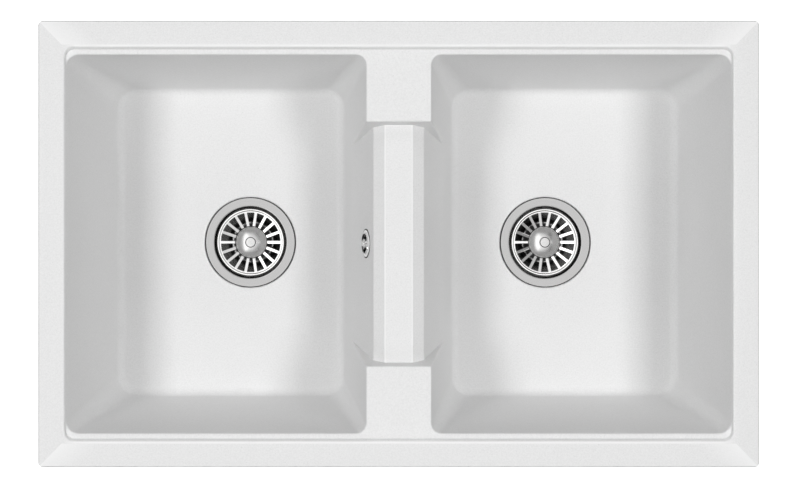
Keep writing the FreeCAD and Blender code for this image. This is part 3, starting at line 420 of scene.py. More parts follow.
@dataclass(frozen=True)
class TurnedMetal:
    """Metal polished on a lathe about one strainer's axis, with a ring of painted shade between two radii,
    where a gap or groove would lie in shadow.
    """

    name: str
    centre: Point
    grey: float
    roughness: float
    painted_shade_ring: Point
    warmth: float = 0.006
    smear: float = 0.94
    painted_shade_grey: float = 0.04
    gloss_spread: Point = (0.8, 1.25)
    relief: float = 0.00002
    strength: float = 0.35

    def make(self) -> Material:
        """Builds the material.

        Returns:
            The new material.
        """
        finish = Finish(self.name)
        graph = finish.graph
        marks = finish.group(turning(), Centre_X=self.centre[0], Centre_Y=self.centre[1])
        polished = graph.mix(graph.spread(marks["Smear"]), rgba(self.grey * self.smear, self.warmth),
                             rgba(self.grey, self.warmth))
        # Painted shade: a dark ring between two radii, where a gap or groove would lie in shadow.
        inner, outer = (radius * MM for radius in self.painted_shade_ring)
        shade_mask = graph.math("MULTIPLY", graph.math("GREATER_THAN", marks["Radius"], inner),
                           graph.math("LESS_THAN", marks["Radius"], outer))
        finish.set(Base_Color=graph.mix(shade_mask, polished, rgba(self.painted_shade_grey)), Metallic=1.0)
        finish.gloss(marks["Smear"], *[self.roughness * share for share in self.gloss_spread])
        finish.bump(marks["Height"], self.relief, self.strength)
        return finish.material


@dataclass(frozen=True)
class Grained:
    """One colour with a fine grain, uneven gloss and a trace of cloudiness."""

    name: str
    colour: Point
    roughness: float
    grain_scale: float = 800.0
    relief: float = 0.00005
    strength: float = 0.5
    shade: float = 0.9
    cloud: Point = NOISE_RANGE
    metallic: float = 0.0

    def gloss(self) -> Point:
        """Lowest and highest roughness."""
        return self.roughness - 0.06, self.roughness + 0.08

    def make(self) -> Material:
        """Builds the material.

        Returns:
            The new material.
        """
        finish = Finish(self.name)
        graph = finish.graph
        marks = finish.group(grain(), Scale=self.grain_scale)
        darker = (*[channel * self.shade for channel in self.colour[:3]], 1.0)
        clouded = graph.mix(graph.spread(marks["Cloud"], *self.cloud), darker, self.colour)
        finish.set(Base_Color=clouded, Metallic=self.metallic)
        finish.gloss(marks["Height"], *self.gloss())
        finish.bump(marks["Height"], self.relief, self.strength)
        return finish.material


@dataclass(frozen=True)
class Moulded(Grained):
    """Moulded plastic, rubber or foam."""


@dataclass(frozen=True)
class PlainMetal(Grained):
    """Plated or cast metal, whose grain breaks its gloss."""

    grain_scale: float = 700.0
    relief: float = 0.00003
    strength: float = 0.4
    shade: float = 0.88
    cloud: Point = (0.35, 0.65)
    metallic: float = 1.0

    def gloss(self) -> Point:
        """Lowest and highest roughness."""
        return self.roughness * 0.8, self.roughness * 1.3


@dataclass(frozen=True)
class Coat:
    """A finish, and the record's slot that it goes by."""

    slot: Slot
    material: Material


class Palette:
    """The finishes that several sub-assemblies share, each made once."""

    def __init__(self) -> None:
        """Makes the finishes."""
        self.rubber = Coat(Slot.RUBBER, Moulded("black_rubber", rgba(0.03), 0.6).make())
        self.foam = Coat(Slot.FOAM, Moulded("seal_foam", rgba(0.12), 0.85, 500.0, 0.0002).make())
        white = Moulded("white_plastic", rgba(0.74, 0.01), 0.42).make()
        self.white_plastic = Coat(Slot.WHITE_PLASTIC, white)
        self.grey_plastic = Coat(Slot.GREY_PLASTIC, Moulded("grey_plastic", rgba(0.45), 0.45).make())
        self.zinc = Coat(Slot.ZINC, PlainMetal("zinc_plate", rgba(0.60, -0.01), 0.32).make())
        self.brass = Coat(Slot.BRASS, PlainMetal("turned_brass", (0.72, 0.52, 0.22, 1.0), 0.28).make())
        self.chrome = Coat(Slot.CHROME, PlainMetal("chrome", rgba(0.80), 0.08).make())
        self.screw = Coat(Slot.STEEL, self.chrome.material)
        # Near-black metal for pieces of painted shade in the overflow's spigot and round its cover.
        self.painted_shade = Coat(Slot.CHROME, PlainMetal("painted_shade_chrome", rgba(0.02), 0.5).make())


# Modelling, with every length in millimetres


class Pick(Enum):
    """Parts of a mesh that can be selected."""

    EDGES = "EDGE"
    FACES = "FACE"


def deselect() -> None:
    """Leaves nothing selected, in object mode."""
    if bpy.context.object and bpy.context.object.mode != "OBJECT":
        bpy.ops.object.mode_set(mode="OBJECT")
    bpy.ops.object.select_all(action="DESELECT")


def select_only(piece: Piece) -> None:
    """Makes a piece the one selected and active object.

    Args:
        piece: the object.
    """
    deselect()
    piece.select_set(True)
    bpy.context.view_layer.objects.active = piece


def edit(piece: Piece) -> None:
    """Enters edit mode on a piece, all of it selected.

    Args:
        piece: the mesh object.
    """
    select_only(piece)
    bpy.ops.object.mode_set(mode="EDIT")
    bpy.ops.mesh.select_all(action="SELECT")


def pick(piece: Piece, kind: Pick, test: Callable[[list[Vector]], bool]) -> None:
    """Selects the parts of a mesh whose corners pass a test, and stays in edit mode.

    Args:
        piece: the mesh object.
        kind: edges or faces.
        test: takes a part's corners in millimetres.
    """
    edit(piece)
    bpy.ops.mesh.select_mode(type=kind.value)
    bpy.ops.mesh.select_all(action="DESELECT")
    bpy.ops.object.mode_set(mode="OBJECT")
    places = [vertex.co / MM for vertex in piece.data.vertices]
    for part in piece.data.edges if kind is Pick.EDGES else piece.data.polygons:
        part.select = test([places[index] for index in part.vertices])
    bpy.ops.object.mode_set(mode="EDIT")


def named(piece: Piece, name: str) -> Piece:
    """Gives an object and its mesh one name.

    Args:
        piece: the mesh object.
        name: the name of both.

    Returns:
        The object.
    """
    piece.name = name
    piece.data.name = name
    return piece


def twin(piece: Piece, name: str) -> Piece:
    """Copies a piece.

    Args:
        piece: the mesh object, a CAD node or a modelled piece.
        name: the copy's name.

    Returns:
        The copy, with its own mesh.
    """
    copy = bpy.data.objects.new(name, piece.data.copy())
    bpy.context.scene.collection.objects.link(copy)
    return named(copy, name)


def dress(piece: Piece, material: Material) -> None:
    """Gives a piece its only material."""
    piece.data.materials.clear()
    piece.data.materials.append(material)


def discard(*pieces: Piece) -> None:
    """Removes pieces that have served."""
    for piece in pieces:
        bpy.data.objects.remove(piece)


def shifted(x: float, y: float, z: float) -> Matrix:
    """Translation by millimetres."""
    return Matrix.Translation((x * MM, y * MM, z * MM))


def spun(degrees: float, axis: str = "Z") -> Matrix:
    """Rotation about an axis."""
    return Matrix.Rotation(math.radians(degrees), 4, axis)


def settle(piece: Piece, place: Matrix) -> Piece:
    """Moves a piece and puts its place into its mesh.

    Args:
        piece: the mesh object, at the origin.
        place: where it goes, in metres.

    Returns:
        The piece, its object still at the origin.
    """
    select_only(piece)
    piece.matrix_world = place
    bpy.ops.object.transform_apply(location=True, rotation=True, scale=True)
    return piece


def smooth(piece: Piece, angle: float = 30.0) -> Piece:
    """Shades a piece smoothly, except over its sharp edges.

    Args:
        piece: the mesh object.
        angle: degrees past which an edge counts as sharp.

    Returns:
        The piece.
    """
    select_only(piece)
    bpy.ops.object.shade_smooth_by_angle(angle=math.radians(angle))
    return piece


def apply(piece: Piece, kind: str, **settings: object) -> Piece:
    """Adds a modifier to a piece and applies it.

    Args:
        piece: the mesh object.
        kind: the modifier's type.
        settings: its attributes.

    Returns:
        The piece.
    """
    select_only(piece)
    modifier = piece.modifiers.new(kind.lower(), kind)
    for name, value in settings.items():
        setattr(modifier, name, value)
    bpy.ops.object.modifier_apply(modifier=modifier.name)
    return piece


def combine(piece: Piece, operation: str, others: Sequence[Piece]) -> Piece:
    """Changes a piece by other closed pieces, which are removed.

    Args:
        piece: the mesh object that changes.
        operation: what the Boolean modifier does.
        others: the closed meshes.

    Returns:
        The piece.
    """
    for other in others:
        apply(piece, "BOOLEAN", operation=operation, solver="EXACT", object=other)
    discard(*others)
    return piece


def carve(piece: Piece, *cutters: Piece) -> Piece:
    """Cuts closed pieces away from a piece, and returns it."""
    return combine(piece, "DIFFERENCE", cutters)


def unite(piece: Piece, *others: Piece) -> Piece:
    """Merges closed pieces with a piece into one skin, and returns it."""
    return combine(piece, "UNION", others)


def confine(piece: Piece, *others: Piece) -> Piece:
    """Keeps what of a piece lies inside closed pieces, and returns it."""
    return combine(piece, "INTERSECT", others)


def gather(name: str, pieces: Sequence[Piece]) -> Piece:
    """Joins pieces into one object, each keeping its own closed skin.

    Args:
        name: the joined object's name.
        pieces: the mesh objects.

    Returns:
        The joined object.
    """
    deselect()
    for piece in pieces:
        piece.select_set(True)
    bpy.context.view_layer.objects.active = pieces[0]
    bpy.ops.object.join()
    return named(pieces[0], name)


def soften(piece: Piece, width: float, segments: int = 2, angle: float = 40.0) -> Piece:
    """Rounds a piece's sharp edges and shades it smoothly.

    Args:
        piece: the mesh object.
        width: how much comes off each side of an edge.
        segments: steps round the edge.
        angle: degrees past which an edge counts as sharp.

    Returns:
        The piece.
    """
    apply(piece, "BEVEL", width=width * MM, segments=segments, limit_method="ANGLE",
          angle_limit=math.radians(angle), use_clamp_overlap=True, miter_outer="MITER_ARC")
    return smooth(piece, 35.0)


def mended(piece: Piece) -> Piece:
    """Merges a mesh's doubles and turns its faces outwards.

    Args:
        piece: the mesh object.

    Returns:
        The piece.
    """
    edit(piece)
    bpy.ops.mesh.remove_doubles(threshold=MERGE_DISTANCE)
    bpy.ops.mesh.normals_make_consistent(inside=False)
    bpy.ops.object.mode_set(mode="OBJECT")
    return piece


def block(name: str, low: Point, high: Point) -> Piece:
    """Makes a box between two corners.

    Args:
        name: the new object's name.
        low: its lowest corner.
        high: its highest corner.

    Returns:
        The new object.
    """
    deselect()
    middle = [(a + b) / 2 * MM for a, b in zip(low, high)]
    sides = [(b - a) * MM for a, b in zip(low, high)]
    bpy.ops.mesh.primitive_cube_add(size=1, location=middle, scale=sides)
    bpy.ops.object.transform_apply(location=True, rotation=True, scale=True)
    return named(bpy.context.object, name)


def rod(name: str, radius: float, low: float, high: float, sides: int = 48) -> Piece:
    """Makes an upright rod about Z.

    Args:
        name: the new object's name.
        radius: its radius, to its corners.
        low: its foot's height.
        high: its top's height.
        sides: how many sides it has.

    Returns:
        The new object.
    """
    deselect()
    bpy.ops.mesh.primitive_cylinder_add(vertices=sides, radius=radius * MM, depth=(high - low) * MM,
                                        location=(0, 0, (low + high) / 2 * MM))
    bpy.ops.object.transform_apply(location=True, rotation=True, scale=True)
    return named(bpy.context.object, name)


def hexagon(name: str, width: float, low: float, high: float) -> Piece:
    """Upright hexagonal rod between two heights, its width taken across its flats."""
    return settle(rod(name, width / math.sqrt(3), low, high, 6), spun(30))


def rounded(points: Sequence[Point], segments: int = 5, closed: bool = False) -> list[Point]:
    """Rounds the corners of an outline.

    Args:
        points: (a, b) or (a, b, corner radius).
        segments: steps round each corner.
        closed: whether the last point joins the first.

    Returns:
        Plain (a, b) points.
    """
    path = []
    count = len(points)
    for index, point in enumerate(points):
        radius = point[2] if len(point) > 2 else 0
        at = Vector(point[:2])
        if not radius or (not closed and index in (0, count - 1)):
            path.append(tuple(at))
            continue
        before = (Vector(points[index - 1][:2]) - at).normalized()
        after = (Vector(points[(index + 1) % count][:2]) - at).normalized()
        half = before.angle(after) / 2
        middle = at + (before + after).normalized() * radius / math.sin(half)
        first = at + before * radius / math.tan(half) - middle
        last = at + after * radius / math.tan(half) - middle
        for step in range(segments + 1):
            path.append(tuple(middle + radius * first.slerp(last, step / segments)))
    return path


def sheet_outline(points: Sequence[Point], thickness: float) -> list[Point]:
    """Outline of a bent sheet, its second face to the right of the path.

    Args:
        points: the sheet's first face, (a, b) or (a, b, corner radius).
        thickness: the sheet's thickness.

    Returns:
        The closed outline, corner radii kept.
    """
    second = []
    for index, point in enumerate(points):
        at = Vector(point[:2])
        before = (at - Vector(points[index - 1][:2])).normalized() if index else None
        after = (Vector(points[index + 1][:2]) - at).normalized() if index < len(points) - 1 else before
        before = before or after
        side = Vector((before.y + after.y, -before.x - after.x))
        far = at + side * thickness / (1 + before.dot(after))
        radius = point[2] if len(point) > 2 else 0
        grown = radius + math.copysign(thickness, before.cross(after))
        second.append((far.x, far.y, max(grown, 0) if radius else 0))
    return list(points) + second[::-1]


def traced(name: str, path: Sequence[Point]) -> Piece:
    """Line of edges through (radius, height) points in the XZ plane, left in edit mode and selected.

    Args:
        name: the new object's name.
        path: the points.

    Returns:
        The new object.
    """
    deselect()
    bpy.ops.mesh.primitive_plane_add(size=MM)
    piece = named(bpy.context.object, name)
    bpy.ops.object.mode_set(mode="EDIT")
    bpy.ops.mesh.select_mode(type="VERT")
    bpy.ops.mesh.merge(type="CENTER")
    bpy.ops.transform.translate(value=(path[0][0] * MM, 0, path[0][1] * MM))
    for start, end in zip(path, path[1:]):
        step = ((end[0] - start[0]) * MM, 0, (end[1] - start[1]) * MM)
        bpy.ops.mesh.extrude_vertices_move(TRANSFORM_OT_translate={"value": step})
    bpy.ops.mesh.select_all(action="SELECT")
    return piece


def turned(name: str, path: Sequence[Point], steps: int = 96) -> Piece:
    """Solid of revolution about Z, as from a lathe.

    Args:
        name: the new object's name.
        path: outline of (radius, height), closed unless both its ends lie on the axis.
        steps: steps round the axis.

    Returns:
        The new object, shaded smoothly.
    """
    solid = path[0][0] == 0 and path[-1][0] == 0
    piece = traced(name, path if solid else [*path, path[0]])
    bpy.ops.mesh.spin(steps=steps, angle=math.tau, center=(0, 0, 0), axis=(0, 0, 1))
    return smooth(mended(piece))


def drawn(name: str, path: Sequence[Point], half_depth: float) -> Piece:
    """Closed XZ outline drawn out along Y to the same length each way.

    Args:
        name: the new object's name.
        path: closed outline of (x, z).
        half_depth: how far it reaches each way.

    Returns:
        The new object.
    """
    piece = traced(name, [*path, path[0]])
    bpy.ops.mesh.remove_doubles(threshold=MERGE_DISTANCE)
    bpy.ops.mesh.edge_face_add()
    bpy.ops.transform.translate(value=(0, -half_depth * MM, 0))
    step = (0, 2 * half_depth * MM, 0)
    bpy.ops.mesh.extrude_region_move(TRANSFORM_OT_translate={"value": step})
    return mended(piece)


def ringed(piece: Piece, count: int) -> Piece:
    """Repeats a piece evenly about Z in one mesh.

    Args:
        piece: the mesh object, already at its radius.
        count: how many there are in all.

    Returns:
        The piece.
    """
    edit(piece)
    bpy.ops.mesh.spin(steps=count, dupli=True, angle=math.tau, center=(0, 0, 0), axis=(0, 0, 1))
    return mended(piece)


def refined_copy(node: str, name: str, crease: float = 28.0) -> Piece:
    """Copy of a CAD node with its loose triangles merged and its curved faces shaded smoothly.

    Args:
        node: the CAD node.
        name: the copy's name.
        crease: degrees past which an edge stays sharp.

    Returns:
        The copy.
    """
    piece = twin(frame["nodes"][node], name)
    edit(piece)
    bpy.ops.mesh.customdata_custom_splitnormals_clear()
    bpy.ops.mesh.remove_doubles(threshold=MM * MM)
    return apply(smooth(piece, crease), "WEIGHTED_NORMAL", keep_sharp=True, mode="FACE_AREA")


@dataclass(frozen=True)
class Thread:
    """Ridge wound about Z between two heights."""

    crest: float
    root: float
    pitch: float
    low: float
    high: float
    flank_share: float = 0.38
    flat_share: float = 0.10
    runout: float = 0.8
    steps: int = 32

    def cut(self, name: str) -> Piece:
        """Winds the ridge and closes its ends.

        Args:
            name: the new object's name.

        Returns:
            The new object.
        """
        flank = self.pitch * self.flank_share
        flat = self.pitch * self.flat_share
        inside = self.root - (self.crest - self.root)
        profile = [(inside, -flank), (self.crest, -flat), (self.crest, flat), (inside, flank)]
        piece = traced(name, [(r, z + self.low + flank) for r, z in [*profile, profile[0]]])
        bpy.ops.mesh.remove_doubles(threshold=MERGE_DISTANCE)
        turns = int((self.high - self.low) / self.pitch - self.runout)
        apply(piece, "SCREW", axis="Z", screw_offset=self.pitch * MM, iterations=turns, steps=self.steps,
              render_steps=self.steps, use_merge_vertices=False)
        edit(piece)
        bpy.ops.mesh.remove_doubles(threshold=MERGE_DISTANCE)
        bpy.ops.mesh.fill_holes(sides=8)
        return smooth(mended(piece))


@dataclass(frozen=True)
class SlottedScrew:
    """Turned screw about Z, with a straight slot across its head and a thread round its shank."""

    outline: Sequence[Point]
    slot: Point
    thread: Thread
    slot_half: float = 0.5
    steps: int = 64

    def make(self, name: str) -> Piece:
        """Turns the screw, cuts its slot and winds its thread.

        Args:
            name: the new object's name.

        Returns:
            The new object.
        """
        reach, low, high = self.slot
        slot = block("slot", (-reach, -self.slot_half, low), (reach, self.slot_half, high))
        shank = smooth(carve(turned(name, rounded(self.outline, 4), self.steps), slot))
        return gather(name, [shank, self.thread.cut("thread")])


# Stage


@dataclass
class Studio:
    """Camera over the sink, white floor below it and soft lamps above, in metres."""

    camera_height: float = 1.620
    camera_x: float = -0.011
    camera_y: float = 0.018
    view_width: float = 0.894
    sensor_mm: float = 36.0
    shift_x: float = 0.0138
    shift_y: float = -0.0232
    crest: float = 9.5 * MM
    softbox_x: float = 1.2
    softbox_z: float = 2.2
    softbox: Point = (1.1, 0.5)
    left_power: float = 26.8
    right_power: float = 26.6
    fill_y: float = 1.9
    fill_z: float = 1.4
    fill: Point = (0.7, 0.7)
    fill_power: float = 6.8
    skirt_distance: float = 1.7
    skirt_z: float = -0.15
    skirt: Point = (1.0, 0.2)
    skirt_power: float = 3.2
    level: float = 0.175
    wall_grey: float = 0.12
    wall_white: float = 2.0
    wall_degrees: Point = (100.0, 125.0)
    wall_top: Point = (0.93, 0.98)
    strip_white: float = 1.2
    strip_degrees: Point = (8.0, 13.0)
    ceiling_white: float = 1.3
    ceiling_lean: float = 0.3
    ceiling_edge: Point = (0.5, 0.92)
    floor_side: float = 30.0
    floor_gap: float = 0.5 * MM
    floor_grey: float = 0.8
    floor_glow: float = 0.64

    def camera(self) -> None:
        """Sets the camera straight above, looking down, with the back of the sink at the top."""
        data = bpy.data.cameras.new("camera")
        data.sensor_width = self.sensor_mm
        data.lens = self.sensor_mm * self.camera_height / self.view_width
        data.shift_x = self.shift_x
        data.shift_y = self.shift_y
        data.clip_end = 100
        camera = bpy.data.objects.new("camera", data)
        camera.location = (self.camera_x, self.camera_y, self.crest + self.camera_height)
        bpy.context.scene.collection.objects.link(camera)
        bpy.context.scene.camera = camera

    def lamp(self, name: str, place: Point, size: Point, power: float, aim: float = 0.0) -> None:
        """Adds a rectangular soft lamp.

        Args:
            name: the lamp's name.
            place: its middle.
            size: its sides.
            power: watts.
            aim: height on the Z axis that it faces.
        """
        data = bpy.data.lights.new(name, "AREA")
        data.shape = "RECTANGLE"
        data.size, data.size_y = size
        data.energy = power
        lamp = bpy.data.objects.new(name, data)
        lamp.location = place
        lamp.visible_glossy = False
        lamp.rotation_euler = (Vector((0, 0, aim)) - Vector(place)).to_track_quat("-Z", "Y").to_euler()
        bpy.context.scene.collection.objects.link(lamp)

    def lamps(self) -> None:
        """Adds a softbox to each side, a fill before and behind, and four low lamps round the outside."""
        self.lamp("left_softbox", (-self.softbox_x, 0, self.softbox_z), self.softbox, self.left_power)
        self.lamp("right_softbox", (self.softbox_x, 0, self.softbox_z), self.softbox, self.right_power)
        for name, y in {"front_fill": -self.fill_y, "back_fill": self.fill_y}.items():
            self.lamp(name, (0, y, self.fill_z), self.fill, self.fill_power)
        for name, turn in {"right": 0, "back": 90, "left": 180, "front": 270}.items():
            place = spun(turn) @ Vector((self.skirt_distance, 0, self.skirt_z))
            self.lamp(f"low_{name}", place, self.skirt, self.skirt_power, self.skirt_z)

    def world(self) -> None:
        """Lights all round evenly, shows white to the camera, and shows the studio in reflections."""
        world = bpy.data.worlds.new("studio")
        bpy.context.scene.world = world
        world.use_nodes = True
        graph = Graph(world.node_tree)
        background = world.node_tree.nodes["Background"].inputs
        path = graph.add("LightPath")
        mirrored = graph.math("MAXIMUM", path["Is Glossy Ray"], path["Is Transmission Ray"])
        even = graph.ramp(path["Is Camera Ray"], (0.0, self.level), (1.0, 1.0))
        graph.feed(background["Color"], WHITE)
        graph.feed(background["Strength"], graph.ramp(mirrored, (0.0, even), (1.0, self.walls(graph))))

    def walls(self, graph: Graph) -> Socket:
        """What gloss mirrors: white above and to the left, a white strip to the right, grey elsewhere.

        Args:
            graph: the world's node tree.

        Returns:
            The brightness by direction.
        """
        east, north, up = graph.axes("Generated")
        around = graph.math("ARCTAN2", graph.math("ABSOLUTE", north), east)
        first, last = (math.radians(angle) for angle in self.wall_degrees)
        left = graph.ramp(around, (first, 0.0), (last, self.wall_white))
        below = graph.ramp(up, (self.wall_top[0], 1.0), (self.wall_top[1], 0.0))
        first, last = (math.radians(angle) for angle in self.strip_degrees)
        strip = graph.ramp(around, (first, self.strip_white), (last, 0.0))
        leaning = graph.math("SUBTRACT", up, graph.math("MULTIPLY", east, self.ceiling_lean))
        start, full = self.ceiling_edge
        ceiling = graph.ramp(leaning, (start, self.wall_grey), (full, self.ceiling_white))
        return graph.math("MAXIMUM", ceiling, graph.math("MULTIPLY", left, below), strip)

    def floor(self) -> None:
        """Lays a white floor under the outlets, which keeps the sink's shadow."""
        level = CAD_BOX[0][2] - self.floor_gap
        bpy.ops.mesh.primitive_plane_add(size=self.floor_side, location=(0, 0, level))
        floor = bpy.context.object
        floor.name = "floor"
        finish = Finish("floor_white")
        path = finish.graph.add("LightPath")
        rays = [path[f"Is {kind} Ray"] for kind in ("Camera", "Glossy", "Transmission")]
        seen = finish.graph.math("MAXIMUM", *rays)
        finish.set(Base_Color=rgba(self.floor_grey), Roughness=0.9, Specular_IOR_Level=0.0,
                   Emission_Color=WHITE,
                   Emission_Strength=finish.graph.math("MULTIPLY", seen, self.floor_glow))
        dress(floor, finish.material)

    def build(self) -> None:
        """Builds the whole stage."""
        bpy.context.scene.view_settings.view_transform = "Standard"
        self.camera()
        self.lamps()
        self.world()
        self.floor()


# The sink


@dataclass
class Assembly:
    """A sub-assembly, which dresses its CAD nodes and the pieces that stand for others."""

    palette: Palette

    def carry(self, node: str, coat: Coat) -> None:
        """Gives a CAD node, whose shape stays, its finish."""
        dress(frame["nodes"][node], coat.material)
        log.info("dressed %s", node)

    def adopt(self, piece: Piece, node: str, coat: Coat) -> None:
        """Lets a modelled piece stand for a CAD node, on its body and with its finish.

        Args:
            piece: the finished mesh object, at the origin.
            node: the CAD node that it replaces.
            coat: its finish and the record's slot.
        """
        dress(piece, coat.material)
        bodies = frame["record"]["behaviour"]["bodies"]
        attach(piece, next(body for body, members in bodies.items() if node in members))
        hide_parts(node)
        log.info("%s stands for %s, %d faces", piece.name, node, len(piece.data.polygons))


@dataclass
class Basin(Assembly):
    """The white casting with its rim, two bowls and the low saddle."""

    def build(self) -> None:
        """Builds the casting and dresses its seal strip."""
        stone = Coat(Slot.COMPOSITE, StoneComposite().make())
        self.adopt(refined_copy("sink_basin", "basin_casting"), "sink_basin", stone)
        self.carry("rim_seal_strip", self.palette.foam)


@dataclass
class Drain(Assembly):
    """Pieces modelled about Z from a bowl's floor, and set in both bowls."""

    axis_x: float = 184.5
    floor_z: float = -186.0

    def steel(self, side: Side, name: str, grey: float, roughness: float, painted_shade_ring: Point) -> Coat:
        """Makes steel that is turned about a bowl's drain.

        Args:
            side: the bowl.
            name: the material's name after the side's.
            grey: its lightness.
            roughness: its mean roughness.
            painted_shade_ring: inner and outer radius of its ring of painted shade.

        Returns:
            The finish and its slot.
        """
        centre = (side.sign * self.axis_x * MM, 0)
        return Coat(Slot.STEEL, TurnedMetal(f"{side.value}_{name}", centre, grey, roughness, painted_shade_ring).make())

    def set_in(self, side: Side, node: str, piece: Piece, coat: Coat) -> None:
        """Sets a copy of a piece in a bowl.

        Args:
            side: the bowl.
            node: the name, after the side's, of the CAD node that it stands for.
            piece: the piece about Z.
            coat: its finish.
        """
        copy = twin(piece, f"{side.value}_{node}_piece")
        settle(copy, shifted(side.sign * self.axis_x, 0, self.floor_z))
        self.adopt(copy, f"{side.value}_{node}", coat)


@dataclass
class Strainer(Drain):
    """Basket strainer waste: cup, waste body, outlet, bolt and nut."""

    flange_radius: float = 56.5
    flange_rise: float = 0.6
    flange_drop: float = 0.7
    cup_sheet: float = 1.0
    lip_round: float = 1.4
    cup_radius: float = 45.0
    seat_depth: float = 36.0
    throat_radius: float = 18.5
    throat_depth: float = 43.0
    spider_hub: float = 8.0
    spider_arm: float = 5.0
    spider_arms: int = 4
    body_wall: float = 3.2
    body_radius: float = 50.0
    body_low: float = -48.0
    body_foot: float = -69.0
    collar_radius: float = 56.0
    collar_heights: Point = (-17.0, -13.0)
    shoulder_radius: float = 27.0
    gussets: int = 12
    gusset_half: float = 1.1
    hub_radius: float = 10.0
    hub_heights: Point = (-64.0, -50.0)
    hub_ribs: int = 4
    rib_half: float = 1.3
    rib_heights: Point = (-62.2, -53.2)
    outlet_radius: float = 23.9
    outlet_bore: float = 20.0
    outlet_foot: float = -97.0
    outlet_thread: float = 0.9
    inlet_depth: float = 30.0
    spigot_radius: float = 11.0
    spigot_bore: float = 8.6
    spigot_end: float = 78.0
    spigot_bead: float = 0.1
    bolt_radius: float = 4.0
    bolt_thread: float = 0.45
    bolt_head_radius: float = 7.0
    bolt_head: Point = (-42.0, -37.6)
    bolt_gap: float = 0.2
    nut_width: float = 13.0
    nut_heights: Point = (-64.0, -57.5)
    nut_chamfer: float = 0.8

    def cup(self) -> Piece:
        """Presses the cup: flange, rolled lip, drafted bowl, seat and the spider for the bolt.

        Returns:
            The new object.
        """
        face = [
            (self.flange_radius, self.flange_rise - self.flange_drop),
            (self.flange_radius - self.flange_drop, self.flange_rise, 0.3),
            (self.cup_radius, self.flange_rise, self.lip_round),
            (self.cup_radius, -14, 7),
            (27, -self.seat_depth, 3),
            (self.throat_radius, -self.seat_depth, 1.5),
            (self.throat_radius, -self.throat_depth),
        ]
        cup = turned("cup", rounded(sheet_outline(face[::-1], self.cup_sheet), 6), 144)
        low, high = -self.throat_depth, self.cup_sheet - self.throat_depth
        reach = self.throat_radius + self.cup_sheet / 2
        half = self.spider_arm / 2
        hub = rod("hub", self.spider_hub, low, high)
        arm = block("arms", (self.spider_hub - 2, -half, low), (reach, half, high))
        hole = rod("hole", self.bolt_radius + self.bolt_gap, low - 2, high + 2)
        spider = carve(unite(hub, ringed(arm, self.spider_arms)), hole)
        return gather("cup", [cup, soften(spider, 0.25)])

    def body(self, inlet: bool) -> Piece:
        """Moulds the waste body.

        Args:
            inlet: whether it takes the overflow's hose.

        Returns:
            The new object.
        """
        radius, wall, bend = self.body_radius, self.body_wall, self.body_low
        foot, bore, collar = self.body_foot, self.outlet_bore, self.collar_radius
        low, top = self.collar_heights
        pot = turned("body", rounded([
            (collar, top), (collar, low, 0.8), (radius, low, 0.8), (radius, bend, 8),
            (self.shoulder_radius, foot, 0.3), (bore, foot), (bore, foot + wall, wall),
            (radius - wall, bend + wall, 8 - wall), (radius - wall, top),
        ], 5), 96)
        inner, outer = radius - 1, collar - 1.4
        gusset = drawn("gusset", [(inner, low - 0.3), (inner, low - 10), (inner + 1.3, low - 10),
                                  (outer, low - 0.3), (outer, low + 0.6), (inner, low + 0.6)],
                       self.gusset_half)
        unite(pot, ringed(settle(gusset, spun(180 / self.gussets)), self.gussets))
        hub = rod("hub", self.hub_radius, *self.hub_heights)
        rib_low, rib_top = self.rib_heights
        rib = block("ribs", (self.hub_radius - 2, -self.rib_half, rib_low), (38, self.rib_half, rib_top))
        core = turned("core", rounded([(0, low - 3), (inner, low - 3), (inner, bend, 7), (23, foot + 0.5),
                                       (0, foot + 0.5)], 5), 96)
        ribs = ringed(settle(rib, spun(180 / self.hub_ribs)), self.hub_ribs)
        unite(pot, hub, confine(ribs, core))
        nut_room = hexagon("nut_room", self.nut_width + 0.1, foot - 1, self.nut_heights[1])
        carve(pot, rod("bolt_hole", self.bolt_radius + self.bolt_gap, foot - 1, -45), nut_room)
        if inlet:
            self.add_inlet(pot)
        return soften(pot, 0.2, 1, 50)

    def add_inlet(self, pot: Piece) -> None:
        """Adds the spigot for the hose, with two raised rings that grip it.

        Args:
            pot: the waste body, which is changed.
        """
        radius, end, core = self.spigot_radius, self.spigot_end, self.spigot_bore - 1
        start = math.sqrt((self.body_radius - self.body_wall)**2 - radius**2) + 0.3
        path = [(core, start), (radius, start)]
        for ring in (end - 13, end - 6):
            path += [(radius, ring - 2), (radius + self.spigot_bead, ring), (radius, ring + 0.3)]
        path += [(radius, end - 1.2), (radius - 0.9, end), (core, end)]
        sideways = shifted(0, 0, -self.inlet_depth) @ spun(90, "Y")
        spigot = settle(turned("spigot", path, 64), sideways)
        bore = settle(rod("bore", self.spigot_bore, 30, end + 5, 64), sideways)
        carve(unite(pot, spigot), bore)

    def outlet(self) -> Piece:
        """Moulds the outlet: a shoulder under the pot and a threaded tube.

        Returns:
            The new object.
        """
        top, foot, bore = self.body_foot, self.outlet_foot, self.outlet_bore
        root = self.outlet_radius - self.outlet_thread
        outline = [(self.shoulder_radius, top, 0.3), (self.shoulder_radius, top - 3, 0.6),
                   (root, top - 3, 0.6), (root, foot, 0.8), (bore, foot, 0.6), (bore, top)]
        tube = turned("tube", rounded(outline, 5, closed=True), 96)
        thread = Thread(self.outlet_radius, root, 3.0, foot + 1.5, top - 6)
        return gather("outlet", [smooth(tube), thread.cut("outlet_thread")])

